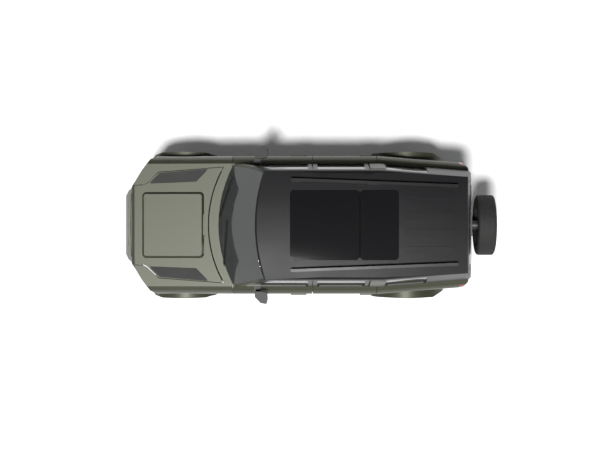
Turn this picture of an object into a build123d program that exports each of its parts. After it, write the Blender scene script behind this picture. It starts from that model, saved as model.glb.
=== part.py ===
from build123d import *
import math
import os

# Five-door off-road estate car, in millimetres: X forward, Y to the car's left, Z up.
# The origin is on the ground, midway along the car. What comes in pairs is modelled on the left and mirrored.

os.makedirs("parts", exist_ok=True)

# Driving dimensions of the whole car
overall_length = 5018.0
front_overhang = 845.0
wheelbase = 3022.0
half_track = 852.0
half_body = 932.0
half_arches = 998.0
roof_height = 1905.0
rail_rise = 86.8

# Wheels
tyre_radius = 407.0
tyre_width = 255.0
rim_radius = 254.0
disc_radius = 180.0
disc_thickness = 28.0
hub_bore = 32.0
running_fit = 0.05
kingpin_y = 785.0
ball_pin_radius = 12.0

# Gaps and walls
panel_gap = 7.0
door_gap = 9.0
frame_gap = 14.0
seat_gap = 0.3
hinge_inset = 12.0
hinge_pin = 4.0
hinge_eye = 7.0
hinge_half = 24.0
door_depth = 62.0
frame_depth = 24.0
door_clearance = 6.0
ring_depth = 120.0
upper_ring_depth = 80.0
flange = 42.0
skin = 28.0
shell_depth = 60.0
glass = 6.0
glass_inset = 9.0

# Stations along the car
front_x = overall_length / 2
front_axle = front_x - front_overhang
rear_axle = front_axle - wheelbase
tail_x = -2175.0
nose_x = 2400.0
cabin_front = 1021.0
taper_start = -950.0
taper_angle = 4.5

# Heights
sill_bottom = 310.0
door_bottom = 400.0
belt = 1258.0
door_top = 1800.0
floor_z = 345.0

# Wheel arches
arch_radius = 455.0
flare_radius = 545.0

# Windscreen: a cylinder that leans back
screen_lean = 40.0
screen_radius = 2350.0
screen_base = (1224.0, 1225.0)

# Bonnet plane falls towards the nose
bonnet_fall = 0.075

side_names = {1: "left", -1: "right"}


def side_plane(y):
    """Plane whose sketch runs along X and Z, and which extrudes towards -Y."""
    return Plane(origin=(0, y, 0), x_dir=(1, 0, 0), z_dir=(0, -1, 0))


def block(x_low, x_high, y_low, y_high, z_low, z_high):
    """Plain rectangular solid between six limits."""
    with BuildPart() as solid:
        with BuildSketch(Plane.XY.offset(z_low)):
            with Locations(((x_low + x_high) / 2, (y_low + y_high) / 2)):
                Rectangle(x_high - x_low, y_high - y_low)
        extrude(amount=z_high - z_low)
    return solid.part


def side_prism(sketch, y_low, y_high):
    """Extrudes a sketch of X and Z across the car."""
    with BuildPart() as solid:
        with BuildSketch(side_plane(y_high)):
            add(sketch)
        extrude(amount=y_high - y_low)
    return solid.part


def plan_prism(sketch, z_low, z_high):
    """Extrudes a sketch of X and Y upwards."""
    with BuildPart() as solid:
        with BuildSketch(Plane.XY.offset(z_low)):
            add(sketch)
        extrude(amount=z_high - z_low)
    return solid.part


def outline(points, radius=0.0, grow=0.0):
    """Closed polygon with rounded corners, grown outwards or inwards."""
    with BuildSketch() as shape:
        with BuildLine():
            Polyline(*points, close=True)
        make_face()
        if grow:
            offset(amount=grow, kind=Kind.INTERSECTION)
        if radius:
            fillet(shape.vertices(), radius)
    return shape.sketch


def cylinder_y(x, z, radius, y_low, y_high):
    """Cylinder across the car."""
    with BuildPart() as solid:
        with BuildSketch(side_plane(y_high)):
            with Locations((x, z)):
                Circle(radius)
        extrude(amount=y_high - y_low)
    return solid.part


def cylinder_z(x, y, radius, z_low, z_high):
    """Upright cylinder."""
    with BuildPart() as solid:
        with BuildSketch(Plane.XY.offset(z_low)):
            with Locations((x, y)):
                Circle(radius)
        extrude(amount=z_high - z_low)
    return solid.part


def along_prism(sketch, x_low, x_high):
    """Extrudes a sketch of Y and Z along the car."""
    with BuildPart() as solid:
        with BuildSketch(Plane.YZ.offset(x_low)):
            add(sketch)
        extrude(amount=x_high - x_low)
    return solid.part


def fused(*parts):
    """One part from several that touch or overlap."""
    with BuildPart() as solid:
        for piece in parts:
            add(piece)
    return solid.part


def trimmed(body, keep=(), drop=()):
    """Body kept inside each of one list and outside each of the other."""
    with BuildPart() as solid:
        add(body)
        for piece in keep:
            add(piece, mode=Mode.INTERSECT)
        for piece in drop:
            add(piece, mode=Mode.SUBTRACT)
    return solid.part


def mirrored(part):
    """The same piece on the car's other side."""
    with BuildPart() as solid:
        mirror(part, about=Plane.XZ)
    return solid.part


# Body section and plan

def hull_region(depth):
    """Left half of the body's cross-section, from beyond the centre line, inset by a depth."""
    with BuildSketch() as region:
        with BuildLine():
            Polyline((-400, -100), (860, -100), (905, 395), (half_body - 4, 560), (half_body, 900),
                     (half_body - 4, 1090))
            ThreePointArc((half_body - 4, 1090), (903, 1190), (862, 1240))
            Line((862, 1240), (822, belt))
            ThreePointArc((822, belt), (779, 1533), (718, 1806))
            ThreePointArc((718, 1806), (698, 1853), (650, 1873))
            Polyline((650, 1873), (560, 1925), (-400, 1990), (-400, -100))
        make_face()
        if depth:
            offset(amount=-depth, kind=Kind.INTERSECTION)
    return region.sketch


def hull_layer(near, far, x_rear, x_front):
    """Left body wall between two depths under the skin, straight along the car."""
    with BuildPart() as layer:
        with BuildSketch(Plane.YZ.offset(x_rear)):
            add(hull_region(near))
            if far:
                add(hull_region(far), mode=Mode.SUBTRACT)
        extrude(amount=x_front - x_rear)
    return layer.part


def tail_limit(depth):
    """Everything ahead of the tail's own surface, inset by a depth."""
    with BuildSketch() as plan:
        with BuildLine():
            Polyline((1400, -1200), (1400, 1200), (-1760, 1200), (-2050, 862), (-2135, 762))
            ThreePointArc((-2135, 762), (tail_x, 0), (-2135, -762))
            Polyline((-2135, -762), (-2050, -862), (-1760, -1200), (1400, -1200))
        make_face()
        if depth:
            offset(amount=-depth, kind=Kind.INTERSECTION)
    with BuildSketch() as profile:
        with BuildLine():
            Polyline((1400, 100), (tail_x, 100), (tail_x, 1180))
            ThreePointArc((tail_x, 1180), (-2146, 1500), (-2062, 1850))
            Polyline((-2062, 1850), (-2020, 2100), (1400, 2100), (1400, 100))
        make_face()
        if depth:
            offset(amount=-depth, kind=Kind.INTERSECTION)
    return trimmed(plan_prism(plan.sketch, 0, 2200), keep=[side_prism(profile.sketch, -1300, 1300)])


def screen_solid(depth):
    """The leaning cylinder that the windscreen's outer face lies on, inset by a depth."""
    lean = math.radians(screen_lean)
    axis_x = screen_base[0] - screen_radius * math.cos(lean)
    axis_z = screen_base[1] - screen_radius * math.sin(lean)
    with BuildPart() as solid:
        with BuildSketch(Plane(origin=(axis_x, 0, axis_z), x_dir=(0, 1, 0),
                               z_dir=(-math.sin(lean), 0, math.cos(lean)))):
            Circle(screen_radius - depth)
        extrude(amount=4000, both=True)
    return solid.part


crown_centre_x = -500.0
crown_length_radius = 22000.0
crown_width_radius = 6500.0


def crown_solid(depth):
    """Everything under the roof's double-curved surface, inset by a depth."""
    half = 900.0
    top = roof_height - depth
    edge = top - (crown_width_radius - math.sqrt(crown_width_radius ** 2 - half ** 2))
    with BuildPart() as solid:
        with BuildSketch(Plane.YZ.offset(crown_centre_x)):
            with BuildLine():
                ThreePointArc((-half, edge), (0, top), (half, edge))
                Polyline((half, edge), (half, 1200), (-half, 1200), (-half, edge))
            make_face()
        revolve(axis=Axis((crown_centre_x, 0, roof_height - crown_length_radius), (0, 1, 0)),
                revolution_arc=9.2)
    return solid.part.rotate(Axis((crown_centre_x, 0, roof_height - crown_length_radius), (0, 1, 0)), -4.6)


# Side wall: door shapes

door_front = 1014.0
pillar_x = -47.0
rear_door_low = -909.0
rear_door_high = -790.0
frame_top_x = 510.0

# Corners in X and Z of each door, and of each window in it
front_door_low = [(door_front, door_bottom), (door_front, belt), (pillar_x, belt), (pillar_x, door_bottom)]
front_door_high = [(door_front, belt - 40), (door_front, belt - 30), (987, belt + 6), (frame_top_x, door_top),
                   (pillar_x + 5, door_top), (pillar_x + 5, belt - 40)]
rear_door_low_points = [(pillar_x - door_gap, door_bottom), (pillar_x - door_gap, belt),
                        (rear_door_low, belt), (rear_door_low, door_bottom)]
rear_door_high_points = [(pillar_x - door_gap, belt - 40), (pillar_x - door_gap, door_top),
                         (rear_door_high, door_top), (rear_door_high, belt + 20),
                         (rear_door_low, belt - 20), (rear_door_low, belt - 40)]
front_window = [(908, 1284), (484, 1750), (12, 1750), (12, 1284)]
rear_window = [(-112, 1284), (-112, 1750), (-738, 1750), (-738, 1284)]
wheel_cut_radius = 552.0


def door_outline(low, high, wheel_x, grow, trail_x=None):
    """Side view of a door: grown by a gap all round, and by more behind its upper frame."""
    with BuildSketch() as shape:
        with BuildLine():
            Polyline(*low, close=True)
        make_face()
        with BuildLine():
            Polyline(*high, close=True)
        make_face()
        if grow:
            offset(amount=grow, kind=Kind.INTERSECTION)
        if trail_x is not None:
            with BuildLine():
                Polyline((trail_x + 40, belt + 20), (trail_x + 40, door_top + grow),
                         (trail_x - frame_gap, door_top + grow), (trail_x - frame_gap, belt + 20), close=True)
            make_face()
        if wheel_x is not None:
            with Locations((wheel_x, tyre_radius)):
                Circle(wheel_cut_radius - grow, mode=Mode.SUBTRACT)
    return shape.sketch


doors = [
    # name, low corners, high corners, window, rear edge of the frame, wheel centre that bites into it
    ("front", front_door_low, front_door_high, front_window, pillar_x + 5, None),
    ("rear", rear_door_low_points, rear_door_high_points, rear_window, rear_door_high, rear_axle),
]


def hull_solid(depth, x_rear=taper_start, x_front=1300.0):
    """Left half of the body, filled, to a depth under the skin."""
    with BuildPart() as solid:
        with BuildSketch(Plane.YZ.offset(x_rear)):
            add(hull_region(depth))
        extrude(amount=x_front - x_rear)
    return solid.part


def tail_solid(depth):
    """The same behind the rear doors, where it narrows."""
    lean = math.radians(taper_angle)
    with BuildPart() as solid:
        with BuildSketch(Plane.YZ.offset(taper_start)):
            add(hull_region(depth))
        extrude(amount=1400, dir=(-math.cos(lean), -math.sin(lean), 0))
    return solid.part


def body_solid(depth):
    """Left half of the whole cabin and tail, filled, to a depth under the skin."""
    return fused(hull_solid(depth), tail_solid(depth))


left_half = block(-2400, 1400, 0, 1300, 0, 2200)
below_belt = block(-2400, 1400, 0, 1300, 0, belt - 10)
above_belt = block(-2400, 1400, 0, 1300, belt - 10, 2200)
body_outer = body_solid(0)
body_skin = body_solid(skin)
door_inner = body_solid(door_depth)
frame_inner = body_solid(frame_depth)
ring_low_outer = body_solid(door_depth + door_clearance)
ring_high_outer = body_solid(frame_depth + door_clearance)
ring_low_inner = body_solid(ring_depth)
ring_high_inner = body_solid(upper_ring_depth)
screen_face = screen_solid(0)
screen_back = screen_solid(glass + seat_gap)

# Hinges: the leaf carries a pin across a pocket in its corner, and an arm from the pillar has the eye round it

hinge_heights = (600.0, 1010.0)


def hinge_pocket(x, y, z):
    """Room for the eye and its arm in a door's front inner corner."""
    return block(x - 9, x + 40, 700, y + 8, z - hinge_half, z + hinge_half)


def hinge_arm(x, y, z, y_root):
    """Eye on an arm that comes out from the pillar."""
    low, high = z - hinge_half + 3, z + hinge_half - 3
    return trimmed(fused(block(x - 4, x + 4, y_root, y, low, high), cylinder_z(x, y, hinge_eye, low, high)),
                   drop=[cylinder_z(x, y, hinge_pin + running_fit, low - 1, high + 1)])


def rounded_corner(x, y, x_sign, y_sign, z_low, z_high):
    """What comes off a corner so that it turns about its own hinge without growing."""
    far_x, far_y = x + x_sign * (hinge_inset + 40), y + y_sign * (hinge_inset + 40)
    return trimmed(block(min(x, far_x), max(x, far_x), min(y, far_y), max(y, far_y), z_low, z_high),
                   drop=[cylinder_z(x, y, hinge_inset, z_low - 1, z_high + 1)])


# Each door leaf, its glass, and the space it needs in the body side
door_leaves = {}
door_glasses = {}
door_spaces = []
door_apertures = []
door_arms = []
hinge_y = half_body - hinge_inset
for name, low, high, window, trail_x, wheel_x in doors:
    hinge_x = low[0][0] - hinge_inset
    face = door_outline(low, high, wheel_x, 0)
    leaf_low = trimmed(body_outer, keep=[side_prism(face, 400, 1200), below_belt], drop=[door_inner])
    leaf_high = trimmed(body_outer, keep=[side_prism(face, 400, 1200), above_belt], drop=[frame_inner])
    pane = side_prism(outline(window, 34), 400, 1200)
    glass_pane = side_prism(outline(window, 34 + 8, grow=-seat_gap), 400, 1200)
    leaf = trimmed(fused(leaf_low, leaf_high), drop=[pane, rounded_corner(hinge_x, hinge_y, 1, 1, door_bottom, belt)]
                   + [hinge_pocket(hinge_x, hinge_y, z) for z in hinge_heights])
    pins = [cylinder_z(hinge_x, hinge_y, hinge_pin, z - hinge_half - 2, z + hinge_half + 2) for z in hinge_heights]
    door_leaves[name] = fused(leaf, *pins)
    door_arms += [hinge_arm(hinge_x, hinge_y, z, half_body - door_depth - door_clearance - 12) for z in hinge_heights]
    door_glasses[name] = trimmed(hull_layer(glass_inset, glass_inset + glass, taper_start, 1200), keep=[glass_pane])
    swing = door_outline(low, high, wheel_x, panel_gap, trail_x)
    around = side_prism(swing, 400, 1200)
    door_spaces.append(trimmed(around, keep=[block(-2400, 1400, 0, 1300, 0, belt - 4)], drop=[ring_low_outer]))
    door_spaces.append(trimmed(around, keep=[block(-2400, 1400, 0, 1300, belt - 4, 2200)], drop=[ring_high_outer]))
    inset = door_outline(low, high, wheel_x, -flange)
    door_apertures.append(side_prism(inset, 400, 1200))

# Wheels: tyre and rim turned about the axle, with the brake disc and hub fused to the rim

tyre_profile = [
    # radius, distance from the wheel's middle plane
    (rim_radius, 108), (330, tyre_width / 2), (385, 117), (tyre_radius, 88),
    (tyre_radius, -88), (385, -117), (330, -tyre_width / 2), (rim_radius, -108),
]
rim_profile = [
    (rim_radius, 110), (rim_radius, -110), (243, -110), (228, -60), (228, 60), (238, 96), (243, 110),
]
spoke_count = 5
hub_radius = 74.0
hub_inner = -37.0
hub_outer = 62.0
hub_face = 38.0
disc_middle = -18.0
stud_circle = 60.0
stud_bore = 13.0


def turned(profile, x, y, z):
    """Solid of revolution about a line across the car, from radius and offset pairs."""
    with BuildPart() as solid:
        with BuildSketch(Plane(origin=(x, y, z), x_dir=(1, 0, 0), z_dir=(0, 0, 1))):
            with BuildLine():
                Polyline(*profile, close=True)
            make_face()
        revolve(axis=Axis((x, y, z), (0, 1, 0)))
    return solid.part


def rim_solid(x, y, z, driven):
    """Rim with its spokes. A driven one carries the hub and the brake disc on its inner side."""
    barrel = turned(rim_profile, x, y, z)
    face = Plane(origin=(x, y, z), x_dir=(1, 0, 0), z_dir=(0, 1, 0))
    with BuildPart() as wheel:
        add(barrel)
        with BuildSketch(face.offset(hub_face)):
            Circle(hub_radius)
            with PolarLocations(0, spoke_count, start_angle=18):
                Polygon((40, -44), (150, -27), (238, -46), (238, 46), (150, 27), (40, 44), align=None)
        extrude(amount=30)
        with BuildSketch(face.offset(hub_face)):
            with PolarLocations(0, spoke_count, start_angle=18):
                Polygon((128, -10), (222, -20), (222, 20), (128, 10), align=None)
        extrude(amount=30, mode=Mode.SUBTRACT)
        with BuildSketch(face.offset(hub_outer)):
            with PolarLocations(stud_circle, spoke_count):
                Circle(stud_bore)
        extrude(amount=-14, mode=Mode.SUBTRACT)
        if driven:
            with BuildSketch(face.offset(hub_inner)):
                Circle(hub_radius)
            extrude(amount=hub_outer - hub_inner)
            with BuildSketch(face.offset(disc_middle - disc_thickness / 2)):
                Circle(disc_radius)
            extrude(amount=disc_thickness)
            with BuildSketch(face.offset(hub_inner)):
                Circle(hub_bore)
            extrude(amount=hub_outer - hub_inner - 16, mode=Mode.SUBTRACT)
    return wheel.part


wheels = [
    # name, x of the axle
    ("front", front_axle),
    ("rear", rear_axle),
]
left_tyres = {}
left_rims = {}
for name, x in wheels:
    left_tyres[name] = turned(tyre_profile, x, half_track, tyre_radius)
    left_rims[name] = rim_solid(x, half_track, tyre_radius, True)
    for side, side_name in side_names.items():
        with BuildPart() as tyre:
            add(left_tyres[name] if side > 0 else mirrored(left_tyres[name]))
        tyre.part.label = f"tyre_{name}_{side_name}"
        export_step(tyre.part, f"parts/tyre_{name}_{side_name}.step")
        with BuildPart() as rim:
            add(left_rims[name] if side > 0 else mirrored(left_rims[name]))
        rim.part.label = f"rim_{name}_{side_name}"
        export_step(rim.part, f"parts/rim_{name}_{side_name}.step")

# Knuckles: upright, hollow-free spindle in the hub, caliper behind the disc

upright_inner = kingpin_y - 22.0
upright_outer = half_track + hub_inner - door_clearance
spindle_end = half_track + hub_outer - 16.0 - 4.0
caliper_gap = 6.0


def knuckle_solid(x, caliper_side):
    """Wheel carrier on the left: upright, spindle and brake caliper."""
    z = tyre_radius
    disc_low = half_track + disc_middle - disc_thickness / 2
    disc_high = disc_low + disc_thickness
    far = 216.0 * caliper_side
    near = 128.0 * caliper_side
    with BuildSketch() as upright:
        with BuildLine():
            Polyline((x - 30, z - 168), (x + 30, z - 168), (x + 50, z - 50), (x + 50, z + 50), (x + 30, z + 168),
                     (x - 30, z + 168), (x - 50, z + 50), (x - 50, z - 50), close=True)
        make_face()
    bracket = block(x + min(near, 0), x + max(near, 0), upright_inner, upright_outer, z - 40, z + 40)
    caliper = block(x + min(near, far), x + max(near, far), upright_inner + 20, disc_high + 26, z - 68, z + 68)
    slot = cylinder_y(x, z, disc_radius + caliper_gap, disc_low - caliper_gap, disc_high + caliper_gap)
    return trimmed(
        fused(side_prism(upright.sketch, upright_inner, upright_outer), bracket, caliper,
              cylinder_y(x, z, hub_bore - running_fit, upright_outer - 5, spindle_end)),
        drop=[trimmed(slot, drop=[cylinder_y(x, z, hub_radius + 6, 600, 1000)])])


upright_top = tyre_radius + 168.0
upright_foot = tyre_radius - 168.0
pin_reach = 36.0
arm_gap = 6.0
front_knuckle_blank = knuckle_solid(front_axle, -1)
rear_knuckle = knuckle_solid(rear_axle, 1)
steering_pins = [
    # low end, high end of each ball-joint pin
    (upright_foot - arm_gap - 10, upright_foot + pin_reach),
    (upright_top - pin_reach, upright_top + arm_gap + 10),
]
front_knuckle = trimmed(front_knuckle_blank, drop=[
    cylinder_z(front_axle, kingpin_y, ball_pin_radius + running_fit, low, high) for low, high in steering_pins])
for side, side_name in side_names.items():
    with BuildPart() as knuckle:
        add(front_knuckle if side > 0 else mirrored(front_knuckle))
    knuckle.part.label = f"knuckle_{side_name}"
    export_step(knuckle.part, f"parts/knuckle_{side_name}.step")

# Side frames: pillars, sills and rear quarters as one welded side, with the rear wheel arch in it

quarter_glass_points = [(-1016, 1290), (-1016, 1750), (-1560, 1750), (-1560, 1290)]
lamp_low = 905.0
lamp_high = 1215.0
lamp_inner_y = 692.0
gate_low = 606.0
gate_points = [(-662, gate_low), (-662, 1170), (-640, 1300), (-556, door_top - 4), (556, door_top - 4),
               (640, 1300), (662, 1170), (662, gate_low)]
gate_gap = 8.0
gate_swing_radius = 25.0


def gate_prism(grow, x_rear=-2400, x_front=-1900):
    """Everything within the tailgate's outline, seen from behind."""
    return along_prism(outline(gate_points, grow=grow), x_rear, x_front)


tail_face = tail_limit(0)
tail_back = tail_limit(shell_depth)
side_outline = outline([(cabin_front, sill_bottom), (cabin_front, 1262), (760, 1560), (470, 1900), (-2250, 1900),
                        (-2250, 560), (-1840, 560), (-1840, 380), (-900, sill_bottom)])
ring_low = trimmed(body_outer, keep=[below_belt, side_prism(side_outline, 300, 1200)], drop=[ring_low_inner])
band_inner = body_solid(skin + seat_gap)
cant_top = side_prism(outline([(1400, 1760), (640, 1800), (0, 1826), (-500, 1832), (-1200, 1820), (-2400, 1768),
                               (-2400, 2100), (1400, 2100)]), 0, 1200)
roof_band = trimmed(block(-2400, 1400, 0, 1300, door_top + 6, 2200), drop=[band_inner])
ring_high = trimmed(body_outer, keep=[block(-2400, 1400, 0, 1300, belt - 10, 1900)],
                    drop=[ring_high_inner, roof_band, trimmed(cant_top, keep=[band_inner])])
rear_wall = trimmed(trimmed(body_outer, keep=[tail_face, left_half], drop=[tail_back]),
                    keep=[block(-2400, -1900, 300, 1300, gate_low, door_top + 6)],
                    drop=[gate_prism(gate_gap)])
rear_arch = cylinder_y(rear_axle, tyre_radius, arch_radius, 300, 1300)
quarter_opening = side_prism(outline(quarter_glass_points, 40), 400, 1200)
lamp_pocket = block(-2400, -2020, lamp_inner_y - seat_gap, 1300, lamp_low - seat_gap, lamp_high + seat_gap)
lamp_depth = 45.0
bumper_top = 598.0
bumper_front_x = -1860.0
side_cut = block(-2400, bumper_front_x, 0, 1300, 0, bumper_top + 4)
side_blank = trimmed(
    fused(ring_low, ring_high, rear_wall),
    keep=[tail_face, screen_back, block(-2400, cabin_front, 300, 1300, 0, 2000)],
    drop=door_spaces + door_apertures + [rear_arch, quarter_opening, side_cut, gate_prism(gate_gap, -2400, -1500),
                                         trimmed(lamp_pocket, drop=[tail_limit(lamp_depth)])])
# Flared rear arch: a ring about the axle under a bulged plan
rear_flare_plan = outline([(-712, 880), (-712, 932), (-900, 984), (rear_axle, half_arches), (-1700, 984),
                           (-1853, 900), (-1853, 820)])
with BuildSketch() as arch_ring:
    with Locations((rear_axle, tyre_radius)):
        Circle(flare_radius)
        Circle(arch_radius, mode=Mode.SUBTRACT)
rear_flare = trimmed(side_prism(arch_ring.sketch, 780, 1100),
                     keep=[plan_prism(rear_flare_plan, bumper_top + 4 - 150, 1000)],
                     drop=[body_solid(skin), side_cut])
# Flush panel that stands proud of the pillar between the rear door's window and the quarter window
panel_rise = 6.0
panel_outline = outline([(-812, 1300), (-1000, 1300), (-1000, 1742), (-812, 1742)], 16)
pillar_panel = trimmed(side_prism(panel_outline, 500, 1000), keep=[body_solid(-panel_rise)], drop=[frame_inner])
side_frame = fused(trimmed(fused(side_blank, rear_flare, pillar_panel), drop=door_spaces), *door_arms)

# Tailgate hinges, on the right: arms from behind the corner pillar with eyes inside the gate's edge

gate_hinge_x = -2132.0
gate_hinge_y = -(gate_points[-1][0] - hinge_inset)
gate_hinge_heights = (700.0, 1100.0)
gate_arms = []
for z in gate_hinge_heights:
    low, high = z - hinge_half + 3, z + hinge_half - 3
    gate_arms.append(trimmed(
        fused(block(gate_hinge_x, -2072, gate_hinge_y - 4, gate_hinge_y + 4, low, high),
              block(-2080, -2064, -700, gate_hinge_y + 4, low, high),
              block(-2096, -2070, -700, gate_points[0][0] - gate_gap - 6, low, high),
              cylinder_z(gate_hinge_x, gate_hinge_y, hinge_eye, low, high)),
        drop=[cylinder_z(gate_hinge_x, gate_hinge_y, hinge_pin + running_fit, low - 1, high + 1)]))
# The right pillar is hollowed where the gate's upper corner swings past it
gate_swing = cylinder_z(gate_hinge_x, gate_hinge_y, gate_swing_radius, gate_points[1][1], 1440)
for side, side_name in side_names.items():
    with BuildPart() as frame:
        add(side_frame if side > 0 else mirrored(side_frame))
        if side < 0:
            add(gate_swing, mode=Mode.SUBTRACT)
            for arm in gate_arms:
                add(arm)
    frame.part.label = f"side_frame_{side_name}"
    export_step(frame.part, f"parts/side_frame_{side_name}.step")

# Roof: double-curved shell with a glass opening, pressed ribs behind it, and a lip down to the cant rails

glass_half_width = 454.0
roof_glass_table = [
    # front, rear
    (247.0, -657.0),
    (-665.0, -1167.0),
]
rib_y = (110.0, 330.0)
rib_width = 95.0
rib_front = -1232.0
rib_rear = -1893.0
rib_rise = 7.0
crown_outer = crown_solid(0)
crown_inner = crown_solid(skin)
roof_zone = block(-2400, 1400, 0, 1300, 1740, 2200)
roof_half = trimmed(body_outer, keep=[roof_zone, crown_outer, screen_face, tail_face],
                    drop=[trimmed(body_skin, keep=[crown_inner, tail_back]),
                          trimmed(block(-2400, 1400, 0, 1300, 0, door_top + 6),
                                  drop=[trimmed(band_inner, keep=[tail_back])])])
roof_blank = fused(roof_half, mirrored(roof_half))

glass_seat = crown_solid(glass + seat_gap + 2)
whole_opening = [(roof_glass_table[0][0], -glass_half_width), (roof_glass_table[0][0], glass_half_width),
                 (roof_glass_table[-1][1], glass_half_width), (roof_glass_table[-1][1], -glass_half_width)]
roof_rebate = trimmed(plan_prism(outline(whole_opening, 60, grow=3), 1700, 2100), drop=[glass_seat])
roof_window = plan_prism(outline(whole_opening, 40, grow=-30), 1700, 2100)
rib_tops = []
for y in rib_y:
    rib_plan = outline([(rib_front, y - rib_width / 2), (rib_front, y + rib_width / 2),
                        (rib_rear, y + rib_width / 2), (rib_rear, y - rib_width / 2)], 40)
    rib_tops.append(trimmed(plan_prism(rib_plan, 1860, 2100), keep=[crown_solid(-rib_rise)], drop=[crown_solid(10)]))
with BuildPart() as roof:
    add(roof_blank)
    add(roof_rebate, mode=Mode.SUBTRACT)
    add(roof_window, mode=Mode.SUBTRACT)
    for rib in rib_tops:
        add(rib)
        mirror(rib, about=Plane.XZ)
roof.part.label = "roof"
export_step(roof.part, "parts/roof.step")

glass_seat_face = crown_solid(2)
panes = []
for front, rear in roof_glass_table:
    pane_plan = outline([(front, -glass_half_width), (front, glass_half_width),
                         (rear, glass_half_width), (rear, -glass_half_width)], 50)
    panes.append(trimmed(plan_prism(pane_plan, 1700, 2100), keep=[glass_seat_face], drop=[crown_solid(glass + 2)]))
with BuildPart() as roof_glass:
    for pane in panes:
        add(pane)
roof_glass.part.label = "roof_glass"
export_step(roof_glass.part, "parts/roof_glass.step")

# Roof rails: bars on feet that stand on the roof

rail_front = (230.0, 590.0)
rail_rear = (-1930.0, 508.0)
rail_half = 18.0
rail_feet = (0.03, 0.5, 0.97)
rail_plan = outline([(rail_front[0], rail_front[1] - rail_half), (rail_front[0], rail_front[1] + rail_half),
                     (rail_rear[0], rail_rear[1] + rail_half), (rail_rear[0], rail_rear[1] - rail_half)], 8)
foot_plans = []
for along in rail_feet:
    foot_x = rail_front[0] + along * (rail_rear[0] - rail_front[0])
    foot_y = rail_front[1] + along * (rail_rear[1] - rail_front[1])
    foot_plans.append(outline([(foot_x - 70, foot_y - 20), (foot_x - 70, foot_y + 20),
                               (foot_x + 70, foot_y + 20), (foot_x + 70, foot_y - 20)], 8))
rail_top = crown_solid(-rail_rise)
rail_bottom = crown_solid(-rail_rise + 26)
foot_bottom = crown_solid(-seat_gap)
rail_bar = trimmed(plan_prism(rail_plan, 1800, 2100), keep=[rail_top], drop=[rail_bottom])
rail_blocks = [trimmed(plan_prism(plan, 1800, 2100), keep=[crown_solid(-rail_rise + 10)],
                       drop=[foot_bottom]) for plan in foot_plans]
with BuildPart() as roof_rails:
    for piece in [rail_bar] + rail_blocks:
        add(piece)
    mirror(about=Plane.XZ)
roof_rails.part.label = "roof_rails"
export_step(roof_rails.part, "parts/roof_rails.step")

# Glass in the body: windscreen, rear quarters

screen_bottom_z = 1226.0
screen_inner = fused(band_inner, mirrored(band_inner))
screen_pane = trimmed(screen_face, keep=[screen_inner, crown_solid(skin + seat_gap),
                                         block(400, 1400, -1000, 1000, screen_bottom_z, 2000)],
                      drop=[screen_solid(glass)])
with BuildPart() as windscreen:
    add(screen_pane)
windscreen.part.label = "windscreen"
export_step(windscreen.part, "parts/windscreen.step")

quarter_pane = trimmed(trimmed(body_solid(glass_inset), drop=[body_solid(glass_inset + glass)]),
                       keep=[side_prism(outline(quarter_glass_points, 40, grow=-seat_gap), 400, 1200)])
with BuildPart() as quarter_glass:
    add(quarter_pane)
    mirror(about=Plane.XZ)
quarter_glass.part.label = "quarter_glass"
export_step(quarter_glass.part, "parts/quarter_glass.step")

# Tail lamps: blocks let into the rear corners

lamp_outer = trimmed(tail_face, keep=[tail_solid(0), block(-2400, -2020, lamp_inner_y, 1300, lamp_low, lamp_high)],
                     drop=[tail_limit(lamp_depth - seat_gap)])
with BuildPart() as tail_lamps:
    add(lamp_outer)
    mirror(about=Plane.XZ)
tail_lamps.part.label = "tail_lamps"
export_step(tail_lamps.part, "parts/tail_lamps.step")

# Tailgate with its own window, and the spare wheel on a carrier

gate_window_points = [(-560, 1260), (-510, 1700), (510, 1700), (560, 1260)]
gate_window_cut = along_prism(outline(gate_window_points, 40), -2400, -1900)
gate_pane_prism = along_prism(outline(gate_window_points, 40, grow=-seat_gap), -2400, -1900)
spare_x = -2381.5
spare_z = 1012.0
carrier_half = 150.0
gate_blank = trimmed(tail_face, keep=[gate_prism(0)], drop=[tail_back])
gate_pockets = [block(gate_hinge_x - 8, -2000, -720, gate_hinge_y + 9, z - hinge_half, z + hinge_half)
                for z in gate_hinge_heights]
gate_corner = rounded_corner(gate_hinge_x, gate_hinge_y, -1, -1, gate_low, 1180)
gate_pins = [cylinder_z(gate_hinge_x, gate_hinge_y, hinge_pin, z - hinge_half - 2, z + hinge_half + 2)
             for z in gate_hinge_heights]
with BuildPart() as tailgate:
    add(gate_blank)
    for piece in [gate_window_cut, gate_corner] + gate_pockets:
        add(piece, mode=Mode.SUBTRACT)
    for pin in gate_pins:
        add(pin)
tailgate.part.label = "tailgate"
export_step(tailgate.part, "parts/tailgate.step")

gate_pane = trimmed(tail_limit(glass_inset), keep=[gate_pane_prism], drop=[tail_limit(glass_inset + glass)])
with BuildPart() as tailgate_glass:
    add(gate_pane)
tailgate_glass.part.label = "tailgate_glass"
export_step(tailgate_glass.part, "parts/tailgate_glass.step")


def across(radius, y, z, x_low, x_high):
    """Cylinder along the car."""
    with BuildSketch() as shape:
        with Locations((y, z)):
            Circle(radius)
    return along_prism(shape.sketch, x_low, x_high)


spare_tyre_blank = turned(tyre_profile, 0, 0, 0).rotate(Axis.Z, 90).moved(Location((spare_x, 0, spare_z)))
spare_rim_blank = rim_solid(0, 0, 0, False).rotate(Axis.Z, 90).moved(Location((spare_x, 0, spare_z)))
with BuildPart() as spare_tyre:
    add(spare_tyre_blank)
spare_tyre.part.label = "spare_tyre"
export_step(spare_tyre.part, "parts/spare_tyre.step")
with BuildPart() as spare_rim:
    add(spare_rim_blank)
spare_rim.part.label = "spare_rim"
export_step(spare_rim.part, "parts/spare_rim.step")

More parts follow.
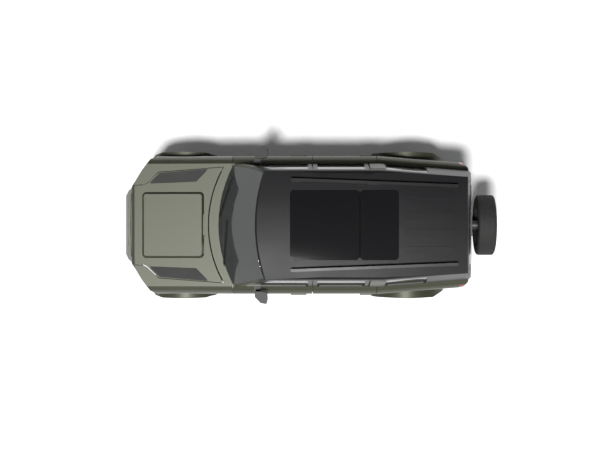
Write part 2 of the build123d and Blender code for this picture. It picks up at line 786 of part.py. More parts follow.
carrier_plate = trimmed(block(-2200, -2100, -carrier_half, carrier_half, spare_z - carrier_half,
                              spare_z + carrier_half), drop=[tail_limit(-seat_gap)])
carrier_boss = across(60, 0, spare_z, spare_x - hub_face, -2195)
with BuildPart() as spare_carrier:
    add(carrier_plate)
    add(carrier_boss)
spare_carrier.part.label = "spare_carrier"
export_step(spare_carrier.part, "parts/spare_carrier.step")

# Front of the car: plan and profile that bonnet, fenders, lamps and grille share

def bonnet_z(x):
    """Height of the bonnet's flat top at a station."""
    return belt - bonnet_fall * (x - cabin_front)


def nose_limit(depth):
    """Everything behind the nose as seen from above, inset by a depth."""
    with BuildSketch() as plan:
        with BuildLine():
            Polyline((900, 1300), (1700, 1090), (2040, 930), (2130, 888), (2245, 735), (2372, 527))
            ThreePointArc((2372, 527), (nose_x, 0), (2372, -527))
            Polyline((2372, -527), (2245, -735), (2130, -888), (2040, -930), (1700, -1090), (900, -1300), (900, 1300))
        make_face()
        if depth:
            offset(amount=-depth, kind=Kind.INTERSECTION)
    return plan_prism(plan.sketch, 100, 1400)


def nose_profile(depth):
    """Everything under the bonnet's top and behind its rounded leading edge, inset by a depth."""
    with BuildSketch() as profile:
        with BuildLine():
            Polyline((800, 100), (800, bonnet_z(800)), (2335, bonnet_z(2335)))
            ThreePointArc((2335, bonnet_z(2335)), (2380, bonnet_z(2335) - 21), (2398, bonnet_z(2335) - 66))
            Polyline((2398, bonnet_z(2335) - 66), (2402, 1060), (2402, 100), (800, 100))
        make_face()
        if depth:
            offset(amount=-depth, kind=Kind.INTERSECTION)
    return side_prism(profile.sketch, -1300, 1300)


def fender_solid(depth):
    """Left front body section, filled, falling with the bonnet towards the nose."""
    with BuildSketch() as region:
        with BuildLine():
            Polyline((-200, 0), (860, -100), (905, 395), (half_body - 4, 560), (half_body, 900),
                     (half_body - 4, 1090))
            ThreePointArc((half_body - 4, 1090), (903, 1190), (862, 1240))
            Polyline((862, 1240), (822, belt), (-200, belt), (-200, 0))
        make_face()
        if depth:
            offset(amount=-depth, kind=Kind.INTERSECTION)
    with BuildPart() as solid:
        with BuildSketch(Plane.YZ.offset(cabin_front)):
            add(region.sketch)
        extrude(amount=1500, dir=(1, 0, -bonnet_fall))
    return solid.part


lamp_band_low = 884.0
lamp_band_high = 1062.0
split_x = 2168.0
lamp_x = 2124.0
split_y = 527.0
bonnet_gap = 9.0
bonnet_rear_gap = 16.0
bonnet_hinge_x = 1182.0
bonnet_hinge_y = 735.0
bonnet_skin = 30.0
dome_rise = 33.0
plate_rise = 4.5


# Bonnet edge on the left seen from above, from its rear corner to the nose
bonnet_edge = [(1150, 772), (2016, 706), (2166, 562), (2215, split_y + 7), (2460, split_y + 3)]
bonnet_rear_x = 1352.0


def bonnet_plan(grow):
    """Bonnet seen from above, grown by a gap at its sides and rear."""
    corner_x, corner_y = bonnet_edge[0]
    rise = bonnet_rear_x - corner_x
    rear_radius = (corner_y ** 2 + rise ** 2) / (2 * rise)
    left = [(x + 0.5 * grow, y + grow) for x, y in bonnet_edge[1:]]
    reach = math.sqrt((rear_radius - grow) ** 2 - (corner_y + grow) ** 2)
    corner = (bonnet_rear_x - rear_radius + reach, corner_y + grow)
    with BuildSketch() as plan:
        with BuildLine():
            Polyline(corner, *left, *[(x, -y) for x, y in reversed(left)], (corner[0], -corner[1]))
            ThreePointArc((corner[0], -corner[1]), (bonnet_rear_x - grow, 0), corner)
        make_face()
    return plan.sketch


nose_outer = trimmed(nose_profile(0), keep=[nose_limit(0)])
nose_inner = trimmed(nose_profile(bonnet_skin), keep=[nose_limit(bonnet_skin)])
bonnet_shell = trimmed(nose_outer, keep=[plan_prism(bonnet_plan(0), lamp_band_high + 4, 1400)], drop=[nose_inner])
fall = math.atan(bonnet_fall)
dome_plane = Plane(origin=(1820, 0, bonnet_z(1820) - 1), x_dir=(math.cos(fall), 0, -math.sin(fall)),
                   z_dir=(math.sin(fall), 0, math.cos(fall)))
bonnet_recess = block(1262, 1420, -140, 140, 1100, 1400)
tread_outline = outline([(2150, 556), (1508, 580), (1340, 752), (2004, 697)], 12)
tread_plate = trimmed(plan_prism(tread_outline, 1100, 1300), keep=[nose_profile(-plate_rise)], drop=[nose_profile(0)])
recess_floor = trimmed(bonnet_recess, drop=[nose_profile(12)])
bonnet_hinge_z = bonnet_z(bonnet_hinge_x) - hinge_inset
bonnet_pocket = block(1100, bonnet_hinge_x + 9, bonnet_hinge_y - 14, bonnet_hinge_y + 14, 1150, bonnet_hinge_z + 8)
bonnet_pin = cylinder_y(bonnet_hinge_x, bonnet_hinge_z, hinge_pin, bonnet_hinge_y - 16, bonnet_hinge_y + 16)
with BuildPart() as bonnet:
    add(bonnet_shell)
    add(bonnet_pocket, mode=Mode.SUBTRACT)
    mirror(bonnet_pocket, about=Plane.XZ, mode=Mode.SUBTRACT)
    add(bonnet_pin)
    mirror(bonnet_pin, about=Plane.XZ)
    with BuildSketch(dome_plane):
        with Locations((0, 0)):
            RectangleRounded(840, 890, 60)
    extrude(amount=dome_rise + 1, taper=42)
    add(recess_floor, mode=Mode.SUBTRACT)
bonnet.part.label = "bonnet"
export_step(bonnet.part, "parts/bonnet.step")

with BuildPart() as treadplates:
    add(tread_plate)
    mirror(about=Plane.XZ)
treadplates.part.label = "treadplates"
export_step(treadplates.part, "parts/treadplates.step")

# Fenders with their flares

bonnet_space = plan_prism(bonnet_plan(bonnet_gap), 700, 1500)
cowl_half = 750.0
cowl_space = block(cabin_front - 5, 1400, 0, cowl_half + seat_gap, 700, 1500)
screen_space = trimmed(screen_solid(-seat_gap), keep=[block(400, 1400, -1000, 1000, 1200, 2000)])
front_arch = cylinder_y(front_axle, tyre_radius, arch_radius, 300, 1300)
fender_outer = trimmed(fender_solid(0), keep=[nose_limit(0), nose_profile(0)])
fender_inner = trimmed(fender_solid(skin), keep=[nose_limit(skin), nose_profile(skin)])
fender_zone = block(cabin_front, 2500, 400, 1300, door_bottom, 1500)
fender_blank = trimmed(fender_outer, keep=[fender_zone],
                       drop=[fender_inner, bonnet_space, cowl_space, front_arch, screen_space,
                             block(lamp_x, 2500, 0, 1300, lamp_band_low - 4, lamp_band_high + seat_gap),
                             block(split_x, 2500, 0, 1300, 0, lamp_band_low)])
front_flare_plan = outline([(2165, 860), (2160, 880), (2100, 960), (1990, 992), (front_axle, half_arches),
                            (1400, 988), (1190, 930), (1190, 850)])
with BuildSketch() as front_arch_ring:
    with Locations((front_axle, tyre_radius)):
        Circle(flare_radius)
        Circle(arch_radius, mode=Mode.SUBTRACT)
front_flare = trimmed(side_prism(front_arch_ring.sketch, 780, 1100), keep=[plan_prism(front_flare_plan, 440, 1000)],
                      drop=[fender_inner])
for side, side_name in side_names.items():
    with BuildPart() as fender:
        add(fender_blank)
        add(front_flare)
        if side < 0:
            mirror(about=Plane.XZ, mode=Mode.REPLACE)
    fender.part.label = f"fender_{side_name}"
    export_step(fender.part, f"parts/fender_{side_name}.step")

# Cowl between bonnet and windscreen, with the wiper openings in it

cowl_blank = trimmed(nose_profile(0), keep=[block(cabin_front, 1400, -cowl_half, cowl_half, 1150, 1400)],
                     drop=[nose_profile(bonnet_skin), plan_prism(bonnet_plan(bonnet_rear_gap), 700, 1500),
                           screen_space])
bonnet_arm_shape = outline([(bonnet_hinge_x + 4, bonnet_hinge_z), (bonnet_hinge_x + 4, 1176), (1096, 1176),
                            (1096, 1232), (1112, 1232), (1112, 1190), (bonnet_hinge_x - 4, 1190),
                            (bonnet_hinge_x - 4, bonnet_hinge_z)])
bonnet_arm = trimmed(
    fused(side_prism(bonnet_arm_shape, bonnet_hinge_y - 10, bonnet_hinge_y + 10),
          cylinder_y(bonnet_hinge_x, bonnet_hinge_z, hinge_eye, bonnet_hinge_y - 10, bonnet_hinge_y + 10)),
    drop=[cylinder_y(bonnet_hinge_x, bonnet_hinge_z, hinge_pin + running_fit, 700, 770)])
with BuildPart() as cowl:
    add(cowl_blank)
    add(bonnet_arm)
    mirror(bonnet_arm, about=Plane.XZ)
cowl.part.label = "cowl"
export_step(cowl.part, "parts/cowl.step")

# Front end: grille, headlamps, bumper and its dark centre

lamp_blank = trimmed(nose_limit(2), keep=[fender_solid(2), block(lamp_x + 3, 2500, split_y + 4, 1300,
                                                                lamp_band_low, lamp_band_high)],
                     drop=[nose_limit(90)])
with BuildPart() as headlamps:
    add(lamp_blank)
    mirror(about=Plane.XZ)
headlamps.part.label = "headlamps"
export_step(headlamps.part, "parts/headlamps.step")

grille_slots = [
    # low edge, high edge of each opening between the bars
    (904.0, 944.0),
    (958.0, 998.0),
    (1012.0, 1046.0),
]
grille_blank = trimmed(nose_limit(6), keep=[block(2200, 2500, -split_y, split_y, lamp_band_low, lamp_band_high)],
                       drop=[nose_limit(46)])
grille_flange = trimmed(block(2250, 2370, -500, 500, 1048, lamp_band_high), keep=[nose_limit(6)])
with BuildPart() as grille:
    add(grille_blank)
    with BuildSketch(Plane.YZ.offset(2200)):
        for low, high in grille_slots:
            for y in (-335, 0, 335):
                with Locations((y, (low + high) / 2)):
                    Rectangle(305, high - low)
    extrude(amount=300, mode=Mode.SUBTRACT)
    add(grille_flange)
grille.part.label = "grille"
export_step(grille.part, "parts/grille.step")


def bumper_limit(depth):
    """Everything behind the front bumper's face, inset by a depth."""
    with BuildSketch() as plan:
        with BuildLine():
            Polyline((1900, 860), (split_x, 860), (2262, 745), (2402, 540), (2452, 420), (2462, 0), (2452, -420),
                     (2402, -540), (2262, -745), (split_x, -860), (1900, -860), (1900, 860))
        make_face()
        if depth:
            offset(amount=-depth, kind=Kind.INTERSECTION)
    return plan_prism(plan.sketch, 200, 1000)


front_bumper_bottom = 430.0
centre_top = 700.0
bumper_lower_outline = [(2300, 420), (2400, 520), (2470, 480), (front_x, 400), (front_x, -400), (2470, -480),
                        (2400, -520), (2300, -420)]
bumper_band = block(split_x + 3, 2600, -1000, 1000, front_bumper_bottom, lamp_band_low - seat_gap)
bumper_blank = trimmed(bumper_limit(0), keep=[bumper_band], drop=[bumper_limit(34)])
lower_prism = plan_prism(outline(bumper_lower_outline), front_bumper_bottom - 30, centre_top)
lower_space = plan_prism(outline(bumper_lower_outline, grow=seat_gap), front_bumper_bottom - 40, centre_top + seat_gap)
intake_rows = [(470.0, 530.0), (560.0, 640.0)]
with BuildPart() as bumper_front:
    add(bumper_blank)
    add(lower_space, mode=Mode.SUBTRACT)
bumper_front.part.label = "bumper_front"
export_step(bumper_front.part, "parts/bumper_front.step")

# A centre piece with the intakes, and two end pieces with the sockets for the towing eyes
eye_bore = 12.0
eye_y = 330.0
eye_depth = 60.0
intake_width = 460.0
lower_seam_y = 262.0
lower_seam = 0.8
with BuildPart() as bumper_lower:
    add(lower_prism)
    with BuildSketch(Plane.XY.offset(front_bumper_bottom - 40)):
        with Locations((2400, -lower_seam_y), (2400, lower_seam_y)):
            Rectangle(400, lower_seam)
    extrude(amount=400, mode=Mode.SUBTRACT)
    with BuildSketch(Plane.YZ.offset(2400)):
        for low, high in intake_rows:
            with Locations((0, (low + high) / 2)):
                Rectangle(intake_width, high - low)
    extrude(amount=200, mode=Mode.SUBTRACT)
    with BuildSketch(Plane.YZ.offset(front_x - eye_depth)):
        for y in (-eye_y, eye_y):
            with Locations((y, 440)):
                Circle(eye_bore)
    extrude(amount=100, mode=Mode.SUBTRACT)
bumper_lower.part.label = "bumper_lower"
export_step(bumper_lower.part, "parts/bumper_lower.step")

# Rear bumper, wrapped round the corners, with the tow receiver under it

rear_bumper_x = -2249.0
rear_bumper_low = 400.0


def rear_bumper_limit(depth):
    """Everything ahead of the rear bumper's face, inset by a depth."""
    with BuildSketch() as plan:
        with BuildLine():
            Polyline((-1500, 866), (bumper_front_x, 866), (-2055, 846), (-2190, 745), (rear_bumper_x, 560),
                     (rear_bumper_x, -560), (-2190, -745), (-2055, -846), (bumper_front_x, -866), (-1500, -866),
                     (-1500, 866))
        make_face()
        if depth:
            offset(amount=-depth, kind=Kind.INTERSECTION)
    return plan_prism(plan.sketch, 200, 1000)


rear_bumper_blank = trimmed(rear_bumper_limit(0), drop=[rear_bumper_limit(70)],
                            keep=[block(-2300, bumper_front_x - 3, -1000, 1000, rear_bumper_low, bumper_top)])
with BuildPart() as bumper_rear:
    add(rear_bumper_blank)
bumper_rear.part.label = "bumper_rear"
export_step(bumper_rear.part, "parts/bumper_rear.step")

# Floor: front floor with its tunnel and firewall, raised rear floor, and the chassis rails under them

floor_thickness = 30.0
floor_half = 778.0
tunnel_half = 140.0
tunnel_top = 520.0
rear_floor_z = 640.0
rear_floor_x = -1020.0
rail_y = 430.0
rail_width = 80.0
wheelhouse_y = 600.0
liner_wall = 8.0
liner_gap = 0.3
liner_half = arch_radius + liner_wall + liner_gap
front_floor = block(rear_floor_x, 1021.5, -floor_half, floor_half, floor_z, floor_z + floor_thickness)
tunnel_outer = block(rear_floor_x, 1021.5, -tunnel_half, tunnel_half, floor_z, tunnel_top)
tunnel_inner = block(rear_floor_x - 40, 1100, -tunnel_half + 20, tunnel_half - 20, 0, tunnel_top - 20)
kick_up = block(rear_floor_x, rear_floor_x + 30, -floor_half, floor_half, floor_z, rear_floor_z + floor_thickness)
rear_floor = block(-2060, rear_floor_x + 30, -690, 690, rear_floor_z, rear_floor_z + floor_thickness)
firewall = block(1021.5, 1051, -780, 780, floor_z, 1200)
chassis_rails = [block(rear, front, y - rail_width / 2, y + rail_width / 2, 540, top)
                 for y in (-rail_y, rail_y)
                 for rear, front, top in ((-2060, rear_floor_x + 30, rear_floor_z), (rear_bumper_x + 70, -2060, 598))]
rear_wheelhouse = [cylinder_y(rear_axle, tyre_radius, liner_half, low, high)
                   for low, high in ((wheelhouse_y - 0.3, 1000), (-1000, -wheelhouse_y + 0.3))]
with BuildPart() as floor_pan:
    for piece in [front_floor, tunnel_outer, kick_up, rear_floor, firewall] + chassis_rails:
        add(piece)
    for piece in [tunnel_inner] + rear_wheelhouse:
        add(piece, mode=Mode.SUBTRACT)
floor_pan.part.label = "floor_pan"
export_step(floor_pan.part, "parts/floor_pan.step")

# Arch liners: half drums round each wheel, closed on the inner side above the axle

liners = []
for x, inner_y, foot in ((front_axle, 509.0, 430.0), (rear_axle, wheelhouse_y, 430.0)):
    drum = cylinder_y(x, tyre_radius, arch_radius + liner_wall, inner_y, 1000)
    hollow = cylinder_y(x, tyre_radius, arch_radius, inner_y + 4, 1001)
    liners.append(trimmed(drum, keep=[block(x - 600, x + 600, 0, 1300, foot, 1000)],
                          drop=[hollow, block(x - 600, x + 600, 0, wheelhouse_y + 5, 0, 660)]))
front_liner = trimmed(liners[0], keep=[trimmed(fender_solid(skin + 0.5)), nose_limit(skin + 1)])
rear_liner = trimmed(liners[1], drop=[side_frame], keep=[body_solid(skin + 0.5)])
with BuildPart() as arch_liners:
    add(front_liner)
    add(rear_liner)
    mirror(about=Plane.XZ)
arch_liners.part.label = "arch_liners"
export_step(arch_liners.part, "parts/arch_liners.step")

# Front structure: rails, crash beam, slam panel and inner wings with their towers

wing_y = 502.0
front_rails = [block(1051, 2299.7, y - 34, y + 34, 470, 560) for y in (-(wing_y - 34), wing_y - 34)]
wings = [block(1051, 2250, y - 3, y + 3, 520, 1090) for y in (-(wing_y - 3), wing_y - 3)]
towers = [trimmed(block(front_axle - 100, front_axle + 100, min(side * wing_y, side * 700), max(side * wing_y, side * 700),
                        840, 950), drop=[cylinder_y(front_axle, tyre_radius, liner_half, -1000, 1000)])
          for side in side_names]
crash_beam = block(2240, 2299.7, -500, 500, 470, 560)
slam_panel = block(2200, 2250, -wing_y, wing_y, 1040, 1090)
with BuildPart() as front_structure:
    for piece in front_rails + wings + towers + [crash_beam, slam_panel]:
        add(piece)
front_structure.part.label = "front_structure"
export_step(front_structure.part, "parts/front_structure.step")

# Engine, driveline, exhaust and tank, seen from below and under the open bonnet

engine_block = block(1240, 1850, -300, 300, 480, 1040)
engine_mounts = block(1500, 1580, -(wing_y - 68), wing_y - 68, 500, 545)
with BuildPart() as engine:
    add(engine_block)
    chamfer(engine.edges().filter_by(Axis.X).group_by(Axis.Z)[-1], 60)
    add(engine_mounts)
engine.part.label = "engine"
export_step(engine.part, "parts/engine.step")

gearbox = block(560, 1240 - 0.5, -105, 105, 262, 490)
shaft_z = 300.0
prop_shaft = across(32, 0, shaft_z, -1235, 560)
rear_diff = block(-1470, -1235, -120, 120, 268, 490)
front_diff = block(1570, 1750, -110, 110, 320, 479.5)
rear_shaft = cylinder_y(rear_axle, tyre_radius, 18, -upright_inner, upright_inner)
front_shaft = cylinder_y(front_axle, tyre_radius, 18, -728, 728)
with BuildPart() as driveline:
    for piece in (gearbox, prop_shaft, rear_diff, rear_shaft):
        add(piece)
    fillet(driveline.edges().filter_by(Axis.X).filter_by(lambda edge: edge.length > 200), 20)
    for piece in (front_diff, front_shaft):
        add(piece)
driveline.part.label = "driveline"
export_step(driveline.part, "parts/driveline.step")

pipe_radius = 30.0
with BuildLine() as pipe_path:
    FilletPolyline((1150, -190, 300), (700, -330, 290), (-1050, -330, 290), (-1290, -250, 490), (-1500, -250, 500),
                   (-1800, -250, 440), radius=120)
hangers = [block(-2000, -1960, y - 14, y + 14, 500, rear_floor_z - seat_gap) for y in (-200, 200)]
with BuildPart() as exhaust:
    for hanger in hangers:
        add(hanger)
    with BuildSketch(Plane(origin=pipe_path.line @ 0, z_dir=pipe_path.line % 0)):
        Circle(pipe_radius)
    sweep(path=pipe_path.line)
    with BuildSketch(Plane.YZ.offset(-2150)):
        with Locations((0, 455)):
            SlotOverall(760, 150)
    extrude(amount=360)
exhaust.part.label = "exhaust"
export_step(exhaust.part, "parts/exhaust.step")

tank = block(-840, -260, 190, 640, 235, floor_z - 0.5)
with BuildPart() as fuel_tank:
    add(tank)
    fillet(fuel_tank.edges().filter_by(Axis.Z), 60)
fuel_tank.part.label = "fuel_tank"
export_step(fuel_tank.part, "parts/fuel_tank.step")

# Suspension: subframes, arms with the ball-joint pins, and spring struts

arm_half = 26.0
arm_thickness = 20.0
lower_arm_z = upright_foot - arm_gap - arm_thickness / 2
upper_arm_z = upright_top + arm_gap + arm_thickness / 2
strut_x = front_axle + 76.0
strut_y = 560.0
strut_radius = 38.0
front_lower_arm, front_upper_arm = [
    fused(block(front_axle - arm_half, front_axle + arm_half, root_y, kingpin_y, z - arm_thickness / 2,
                z + arm_thickness / 2),
          cylinder_z(front_axle, kingpin_y, arm_half, z - arm_thickness / 2, z + arm_thickness / 2))
    for root_y, z in ((400, lower_arm_z), (wing_y + 0.5, upper_arm_z))]
strut_foot = block(front_axle, strut_x + strut_radius, strut_y - strut_radius, strut_y + strut_radius,
                   lower_arm_z - arm_thickness / 2, lower_arm_z + arm_thickness / 2)
front_strut = cylinder_z(strut_x, strut_y, strut_radius, lower_arm_z, 838)
front_pins = [cylinder_z(front_axle, kingpin_y, ball_pin_radius, low, high) for low, high in steering_pins]
front_subframe = block(front_axle - 70, front_axle + 70, -430, 430, 225, 290)
arm_mount = trimmed(block(front_axle - 60, front_axle + 60, 430, wing_y, 225, 469.7),
                    drop=[cylinder_y(front_axle, tyre_radius, 40, 300, 600)])
with BuildPart() as front_suspension:
    for piece in [front_lower_arm, front_upper_arm, strut_foot, front_strut, arm_mount] + front_pins:
        add(piece)
    mirror(about=Plane.XZ)
    add(front_subframe)
front_suspension.part.label = "front_suspension"
export_step(front_suspension.part, "parts/front_suspension.step")

tower_y = 420.0
rear_lower_arm = block(rear_axle - arm_half, rear_axle + arm_half, tower_y - 30, kingpin_y + 15, 226, 250)
rear_upper_arm = block(rear_axle - arm_half, rear_axle + arm_half, rail_y + rail_width / 2, kingpin_y + 15, 558, 580)
rear_tower = trimmed(block(rear_axle - 45, rear_axle + 45, tower_y - 30, tower_y + 30, 226, 540),
                     drop=[cylinder_y(rear_axle, tyre_radius, 40, 300, 500)])
rear_strut = cylinder_z(rear_axle - 76, 530, strut_radius, 240, 638)
rear_strut_foot = block(rear_axle - 76 - strut_radius, rear_axle, 530 - strut_radius, 530 + strut_radius, 226, 250)
cross_member = block(rear_axle - 45, rear_axle + 45, -tower_y, tower_y, 226, 262)
with BuildPart() as rear_suspension:
    for piece in (rear_lower_arm, rear_upper_arm, rear_tower, rear_strut, rear_strut_foot, rear_knuckle):
        add(piece)
    mirror(about=Plane.XZ)
    add(cross_member)
rear_suspension.part.label = "rear_suspension"
export_step(rear_suspension.part, "parts/rear_suspension.step")

# Cabin: dashboard with its column, steering wheel, seats

column_lean = 24.0
wheel_centre = (552.0, 390.0, 1010.0)
steering_radius = 186.0
grip_radius = 15.0
column_radius = 34.0
shaft_radius = 12.0
shaft_length = 150.0
dash_profile = [(1020, 700), (1020, 1150), (900, 1186), (720, 1150), (690, 1040), (760, 960), (760, 820), (900, 700)]
column_axis = Vector(math.cos(math.radians(column_lean)), 0, -math.sin(math.radians(column_lean)))
column_plane = Plane(origin=wheel_centre, x_dir=(0, 1, 0), z_dir=column_axis)
with BuildPart() as dashboard:
    with BuildSketch(side_plane(735)):
        Polygon(*dash_profile, align=None)
    extrude(amount=1470)
    with BuildSketch(column_plane.offset(70)):
        Circle(column_radius)
    extrude(amount=200)
    with BuildSketch(side_plane(130)):
        Polygon((780, floor_z + 190), (780, 830), (200, 640), (-120, 620), (-120, tunnel_top + 0.5),
                (780, tunnel_top + 0.5), align=None)
    extrude(amount=260)
    with BuildSketch(column_plane.offset(60)):
        Circle(shaft_radius + running_fit)
    extrude(amount=shaft_length - 60 + 6, mode=Mode.SUBTRACT)
dashboard.part.label = "dashboard"
export_step(dashboard.part, "parts/dashboard.step")

with BuildPart() as steering_wheel:
    with BuildSketch(Plane(origin=wheel_centre, x_dir=column_axis, z_dir=(0, -1, 0)).offset(0)):
        with Locations((0, steering_radius)):
            RegularPolygon(grip_radius, 8)
    revolve(axis=Axis(wheel_centre, column_axis))
    with BuildSketch(column_plane.offset(10)):
        Circle(52)
    extrude(amount=26)
    with BuildSketch(column_plane.offset(14)):
        with PolarLocations(0, 3, start_angle=0):
            Polygon((30, -18), (steering_radius - 5, -13), (steering_radius - 5, 13), (30, 18), align=None)
    extrude(amount=-12, both=False)
    with BuildSketch(column_plane.offset(20)):
        Circle(shaft_radius)
    extrude(amount=shaft_length - 20)
steering_wheel.part.label = "steering_wheel"
export_step(steering_wheel.part, "parts/steering_wheel.step")

seat_y = 395.0
seat_half = 250.0
seat_floor = floor_z + floor_thickness + seat_gap
front_seat_profile = [(300, seat_floor), (300, 560), (260, 610), (-140, 590), (-260, 1180), (-250, 1190), (-256, 1215),
                      (-235, 1230), (-252, 1400), (-330, 1410), (-352, 1300), (-366, 1180), (-300, 560), (-290, seat_floor)]
seat_riser_x = rear_floor_x + 30 + seat_gap
rear_seat_z = rear_floor_z + floor_thickness + seat_gap
rear_seat_profile = [(-620, seat_floor), (-620, 580), (-660, 620), (-970, 590), (-1110, 1250), (-1118, 1380),
                     (-1190, 1390), (-1240, 1240), (-1150, rear_seat_z), (seat_riser_x, rear_seat_z),
                     (seat_riser_x, seat_floor)]
with BuildPart() as front_seats:
    for y in (-seat_y, seat_y):
        with BuildSketch(side_plane(y + seat_half)):
            Polygon(*front_seat_profile, align=None)
        extrude(amount=2 * seat_half)
front_seats.part.label = "front_seats"
export_step(front_seats.part, "parts/front_seats.step")
with BuildPart() as rear_seat:
    with BuildSketch(side_plane(590)):
        Polygon(*rear_seat_profile, align=None)
    extrude(amount=1180)
    with BuildSketch(side_plane(tunnel_half + 2)):
        Polygon((-600, 370), (-600, tunnel_top + 2), (-1010, tunnel_top + 2), (-1010, 370), align=None)
    extrude(amount=2 * tunnel_half + 4, mode=Mode.SUBTRACT)
rear_seat.part.label = "rear_seat"
export_step(rear_seat.part, "parts/rear_seat.step")

# Doors, their glass and mirrors

handles = {
    # front end, rear end, height
    "front": (240.0, 30.0, 1062.0),
    "rear": (-690.0, -868.0, 1062.0),
}
door_parts = {}
for name, leaf in door_leaves.items():
    front_end, rear_end, height = handles[name]
    grip = trimmed(side_prism(outline([(rear_end, height - 16), (rear_end, height + 16), (front_end, height + 16),
                                       (front_end, height - 16)], 14), 900, half_body + 14))
    door_parts[name] = fused(leaf, grip)
    for side, side_name in side_names.items():
        with BuildPart() as door:
            add(door_parts[name] if side > 0 else mirrored(door_parts[name]))
        door.part.label = f"door_{name}_{side_name}"
        export_step(door.part, f"parts/door_{name}_{side_name}.step")
        with BuildPart() as door_glass:
            add(door_glasses[name] if side > 0 else mirrored(door_glasses[name]))
        door_glass.part.label = f"door_glass_{name}_{side_name}"
        export_step(door_glass.part, f"parts/door_glass_{name}_{side_name}.step")

mirror_arm = trimmed(block(640, 735, 700, 900, 1256, 1280), drop=[body_solid(-seat_gap)])
mirror_head = plan_prism(outline([(720, 884), (628, 884), (556, 900), (548, 960), (560, 1052), (640, 1040),
                                  (718, 960)], 14), 1250, 1398)
for side, side_name in side_names.items():
    with BuildPart() as door_mirror:
        add(mirror_arm)
        add(mirror_head)
        if side < 0:
            mirror(about=Plane.XZ, mode=Mode.REPLACE)
    door_mirror.part.label = f"mirror_{side_name}"
    export_step(door_mirror.part, f"parts/mirror_{side_name}.step")

# Wipers: blades and arms lying just over the glass, each on a spindle through the cowl

wiper_skin = trimmed(screen_solid(-12), drop=[screen_solid(-seat_gap)])
wiper_plans = [
    # spindle x and y, blade tip x and y
    (1140.0, 560.0, 1090.0, -60.0),
    (1195.0, -100.0, 1020.0, -640.0),
]
wiper_list = []
for spindle_x, spindle_y, tip_x, tip_y in wiper_plans:
    length = math.hypot(tip_x - spindle_x, tip_y - spindle_y)
    nx, ny = (tip_y - spindle_y) / length * 12, -(tip_x - spindle_x) / length * 12
    strip = outline([(spindle_x + nx, spindle_y + ny), (tip_x + nx, tip_y + ny), (tip_x - nx, tip_y - ny),
                     (spindle_x - nx, spindle_y - ny)])
    wiper_list.append(trimmed(plan_prism(strip, 1200, 1700), keep=[wiper_skin], drop=[nose_profile(-seat_gap)]))
with BuildPart() as wipers:
    for piece in wiper_list:
        add(piece)
wipers.part.label = "wipers"
export_step(wipers.part, "parts/wipers.step")
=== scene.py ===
import bpy
import bmesh
import math
from mathutils import Matrix, Vector


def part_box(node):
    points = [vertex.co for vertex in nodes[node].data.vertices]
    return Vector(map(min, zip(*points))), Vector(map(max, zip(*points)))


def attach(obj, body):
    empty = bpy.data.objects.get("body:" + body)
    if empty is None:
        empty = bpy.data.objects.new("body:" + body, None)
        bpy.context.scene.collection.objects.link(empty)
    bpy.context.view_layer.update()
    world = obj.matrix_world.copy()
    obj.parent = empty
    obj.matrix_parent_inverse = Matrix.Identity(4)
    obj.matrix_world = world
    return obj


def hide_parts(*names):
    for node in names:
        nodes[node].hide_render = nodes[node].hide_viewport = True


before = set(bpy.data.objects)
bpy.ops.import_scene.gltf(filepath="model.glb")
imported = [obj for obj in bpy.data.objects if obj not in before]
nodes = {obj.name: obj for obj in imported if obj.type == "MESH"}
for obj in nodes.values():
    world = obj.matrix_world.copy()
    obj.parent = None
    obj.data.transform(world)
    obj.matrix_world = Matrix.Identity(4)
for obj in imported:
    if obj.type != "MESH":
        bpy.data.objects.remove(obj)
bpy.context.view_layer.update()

# Studio: a pale matt floor under a dim sky, with a soft high lamp a little to the car's left and ahead.
# The camera hangs straight above the car, nose to the picture's left.
floor_half = 60
floor_tone = 0.86
floor_lift = 0.06
fill_dark = 0.05
fill_bright = 0.50
lamp_side = Vector((0.10, 0.27, 1))
lamp_power = 4.6
lamp_spread = math.radians(11)
camera_place = (0.117, 0, 22)
camera_lens = 92.98

floor_mesh = bpy.data.meshes.new("studio_floor")
bm = bmesh.new()
bmesh.ops.create_grid(bm, x_segments=1, y_segments=1, size=floor_half)
bm.to_mesh(floor_mesh)
bm.free()
floor = bpy.data.objects.new("studio_floor", floor_mesh)
bpy.context.scene.collection.objects.link(floor)

floor_paint = bpy.data.materials.new("studio_floor")
floor_paint.use_nodes = True
tree = floor_paint.node_tree
tree.nodes.clear()
matt = tree.nodes.new("ShaderNodeBsdfDiffuse")
matt.inputs["Color"].default_value = (floor_tone, floor_tone, floor_tone, 1)
glow = tree.nodes.new("ShaderNodeEmission")
glow.inputs["Color"].default_value = (1, 1, 1, 1)
ray = tree.nodes.new("ShaderNodeLightPath")
amount = tree.nodes.new("ShaderNodeMath")
amount.operation = "MULTIPLY"
amount.inputs[1].default_value = floor_lift
tree.links.new(ray.outputs["Is Camera Ray"], amount.inputs[0])
tree.links.new(amount.outputs[0], glow.inputs["Strength"])
both = tree.nodes.new("ShaderNodeAddShader")
out = tree.nodes.new("ShaderNodeOutputMaterial")
tree.links.new(matt.outputs[0], both.inputs[0])
tree.links.new(glow.outputs[0], both.inputs[1])
tree.links.new(both.outputs[0], out.inputs["Surface"])
floor_mesh.materials.append(floor_paint)

